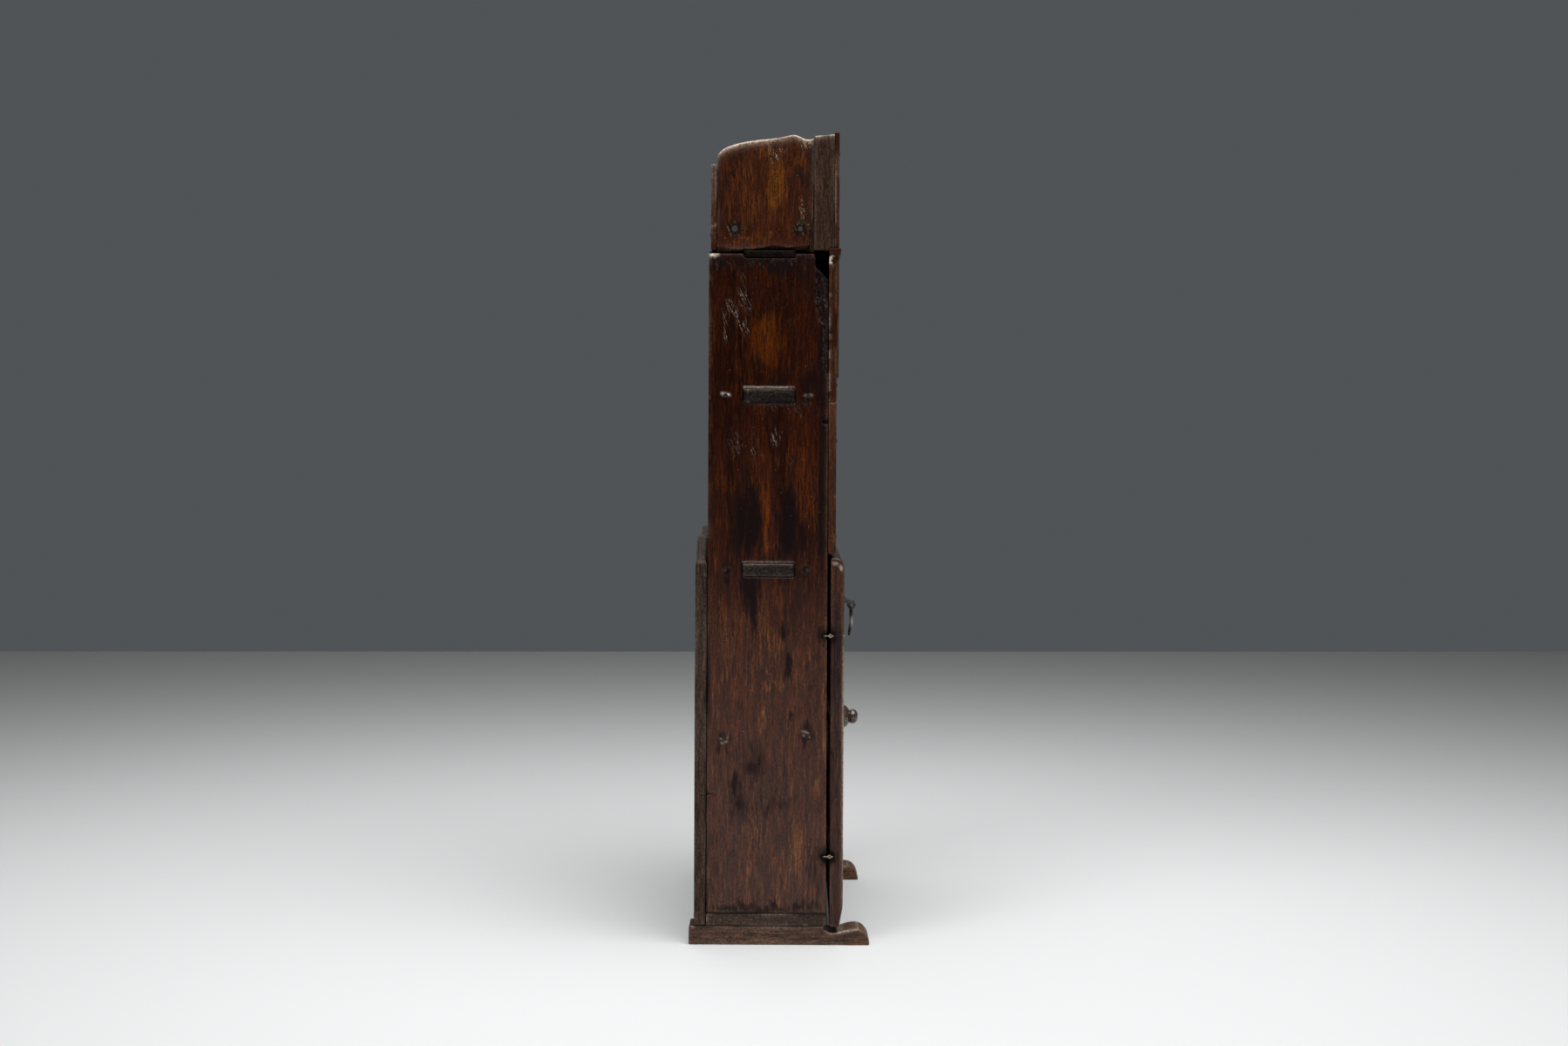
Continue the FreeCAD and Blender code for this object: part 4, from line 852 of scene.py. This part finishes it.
for number, side in enumerate(("left", "right")):
    seen = side == "left"  # only this side shows in the photo, so it alone has marks of its own
    worn_piece("foot_" + side, voxel=2.4, radius=3.0, waviness=0.8, top_axis=Y, top_wear_and_highlight=0.15, tone=0.8,
               paint=foot_paint, grain=Y, seed=31 + number)
    worn_piece("side_board_" + side, radius=1.4, waviness=0.6, shape=side_shape if seen else None,
               paint=side_paint if seen else None, seed=41 + number)
    worn_piece("face_stile_%s_lower" % side, voxel=2.6, paint=faded_paint, seed=51 + number)
    worn_piece("face_stile_%s_upper" % side, voxel=2.6, tone=0.20, paint=face_paint if seen else None,
               seed=53 + number)
    worn_piece("gallery_cheek_" + side, voxel=2.2, radius=6.0, waviness=1.0, top_axis=Y, top_share=0.75,
               top_wear_and_highlight=2.0, top_glint=0.75, tone=0.30, rub=0.35, shape=cheek_shape if seen else None,
               paint=cheek_paint if seen else None, seed=61 + number)
    worn_piece("gallery_post_" + side, voxel=2.2, radius=2.2, waviness=0.9, top_axis=Y, top_share=0.9,
               top_wear_and_highlight=0.4, top_glint=0.8, tone=0.18, rub=0.25, seed=71 + number)
worn_piece("bottom_board", radius=2.5, tone=0.44, paint=bottom_paint, grain=X, seed=81)
shelves = (("lower_shelf", 0.5, 1, None), ("waist_shelf", 0.45, 1, shelf_paint), ("middle_shelf", 0.25, 1, shelf_paint),
           ("top_board", 0.0, 0.1, None))
for number, (name, tone, rub, paint) in enumerate(shelves):
    worn_piece(name, radius=1.2, tone=tone, rub=rub, paint=paint, grain=X, seed=91 + number)
for number, tone in enumerate((0.45, 0.6, 0.5, 0.65, 0.4)):
    worn_piece("back_plank_%d" % (number + 1), radius=3.0, chips=1.6, waviness=1.2, top_axis=X, top_share=0.6,
               top_wear_and_highlight=0.1, tone=tone, paint=plank_paint, seed=101 + number)
for number, tone in enumerate((0.5, 0.4, 0.6)):
    worn_piece("upper_back_board_%d" % (number + 1), tone=tone, seed=111 + number)
rails = (("niche_rail", 0.4, 1, None), ("cupboard_rail", 0.35, 1, None), ("top_rail", 0.08, 0.35, None),
         ("gallery_back", 0.22, 0.8, None), ("gallery_fascia", 0.22, 0.3, fascia_paint))
for number, (name, tone, rub, paint) in enumerate(rails):
    worn_piece(name, voxel=2.6, tone=tone, rub=rub, paint=paint, grain=X, seed=121 + number)
for number, name in enumerate(("bottom_rail", "mid_rail", "top_rail", "panel_1", "panel_2")):
    worn_piece("lower_door_" + name, voxel=2.6, radius=1.5, grain=X if "rail" in name else Z, seed=131 + number)
for number, (name, paint) in enumerate((("hinge_stile", door_stile_paint), ("lock_stile", None))):
    worn_piece("lower_door_" + name, voxel=2.6, radius=1.6, waviness=0.3, paint=paint, seed=141 + number)
for number, name in enumerate(("bottom_rail", "top_rail", "panel_1")):
    worn_piece("upper_door_" + name, voxel=2.4, radius=1.5, grain=X, seed=151 + number)
for number, name in enumerate(("hinge_stile", "lock_stile")):
    worn_piece("upper_door_" + name, voxel=2.4, radius=2.0, seed=161 + number)

dark_iron = iron("dark_iron", (0.012, 0.010, 0.010), (0.050, 0.044, 0.040), 0.52, 0.55)
peg_end = iron("peg_end", (0.026, 0.021, 0.017), (0.11, 0.092, 0.078), 0.26, 0.2)
rubbed_iron = iron("rubbed_iron", (0.018, 0.016, 0.016), (0.16, 0.15, 0.145), 0.34, 0.4, (0.581, 0.601))
wire = iron("pale_wire", (0.22, 0.17, 0.105), (0.72, 0.62, 0.46), 0.38, 0.30)
for name, obj in nodes.items():
    if slot_of[name] == "forged_iron":
        finish = rubbed_iron if "bail" in name else dark_iron
    elif slot_of[name] == "hinge_wire":
        finish = wire
    elif name == "gallery_pegs":
        finish = peg_end
    else:
        finish = wood(slot_of[name], Z)
    obj.data.materials.clear()
    obj.data.materials.append(finish)


# Floor, backdrop, light and camera

HALF_FLOOR = 5.4
FAR_EDGE = 5.56
FAR_SLANT = 0.25  # the far edge isn't quite square to the view
pale = Shader("pale_floor")
pale.surface.inputs["Base Color"].default_value = (0.793, 0.80, 0.804, 1)
pale.surface.inputs["Roughness"].default_value = 0.9
pale.surface.inputs["Specular IOR Level"].default_value = 0.1
floor_mesh = bpy.data.meshes.new("floor")
floor_mesh.from_pydata([(-HALF_FLOOR, -HALF_FLOOR, 0), (FAR_EDGE + FAR_SLANT, -HALF_FLOOR, 0),
                        (FAR_EDGE - FAR_SLANT, HALF_FLOOR, 0), (-HALF_FLOOR, HALF_FLOOR, 0)], [], [(0, 1, 2, 3)])
floor_mesh.materials.append(pale.material)
floor = bpy.data.objects.new("floor", floor_mesh)
bpy.context.scene.collection.objects.link(floor)


def lamp(name, place, target, size, power):
    """Round soft lamp that shines from a place towards a target."""
    data = bpy.data.lights.new(name, "AREA")
    data.shape = "DISK"
    data.size = size
    data.energy = power
    made = bpy.data.objects.new(name, data)
    made.location = place
    made.rotation_euler = (Vector(target) - Vector(place)).to_track_quat("-Z", "Y").to_euler()
    bpy.context.scene.collection.objects.link(made)


lamp("top_light", (-1.2, -0.5, 3.7), (-0.5, 0, 0), 3.4, 156)
lamp("back_light", (0.9, 0.3, 2.7), (0.8, 0, 0), 1.8, 17)
lamp("side_light", (-2.6, 2.3, 4.0), (0, 0, 0.7), 2.0, 44)

world = bpy.data.worlds.new("studio")
bpy.context.scene.world = world
world.use_nodes = True
tree = world.node_tree
tree.nodes.clear()


def background(colour, strength):
    """Output of a background node for the world."""
    made = tree.nodes.new("ShaderNodeBackground")
    made.inputs["Color"].default_value = colour + (1,)
    made.inputs["Strength"].default_value = strength
    return made.outputs[0]


# The backdrop is seen by the camera, in reflections and through glass; weak white light fills the shadows
rays = tree.nodes.new("ShaderNodeLightPath")
backdrop_rays = rays.outputs["Is Camera Ray"]
for ray in ("Is Glossy Ray", "Is Transmission Ray"):
    either = tree.nodes.new("ShaderNodeMath")
    either.operation = "MAXIMUM"
    tree.links.new(backdrop_rays, either.inputs[0])
    tree.links.new(rays.outputs[ray], either.inputs[1])
    backdrop_rays = either.outputs[0]
choose = tree.nodes.new("ShaderNodeMixShader")
for link, socket in zip((backdrop_rays, background((1, 1, 1), 0.06), background((0.082, 0.088, 0.095), 1.0)),
                        choose.inputs):
    tree.links.new(link, socket)
tree.links.new(choose.outputs[0], tree.nodes.new("ShaderNodeOutputWorld").inputs["Surface"])

camera_data = bpy.data.cameras.new("camera")
camera_data.lens = 45
camera_data.sensor_width = 36
camera_data.shift_y = -0.0406
camera = bpy.data.objects.new("camera", camera_data)
camera.location = (-4.196, -0.0056, 0.957)
camera.rotation_euler = (math.radians(90), math.radians(-0.27), math.radians(-90))
bpy.context.scene.collection.objects.link(camera)
bpy.context.scene.camera = camera
bpy.context.scene.view_settings.view_transform = "Standard"
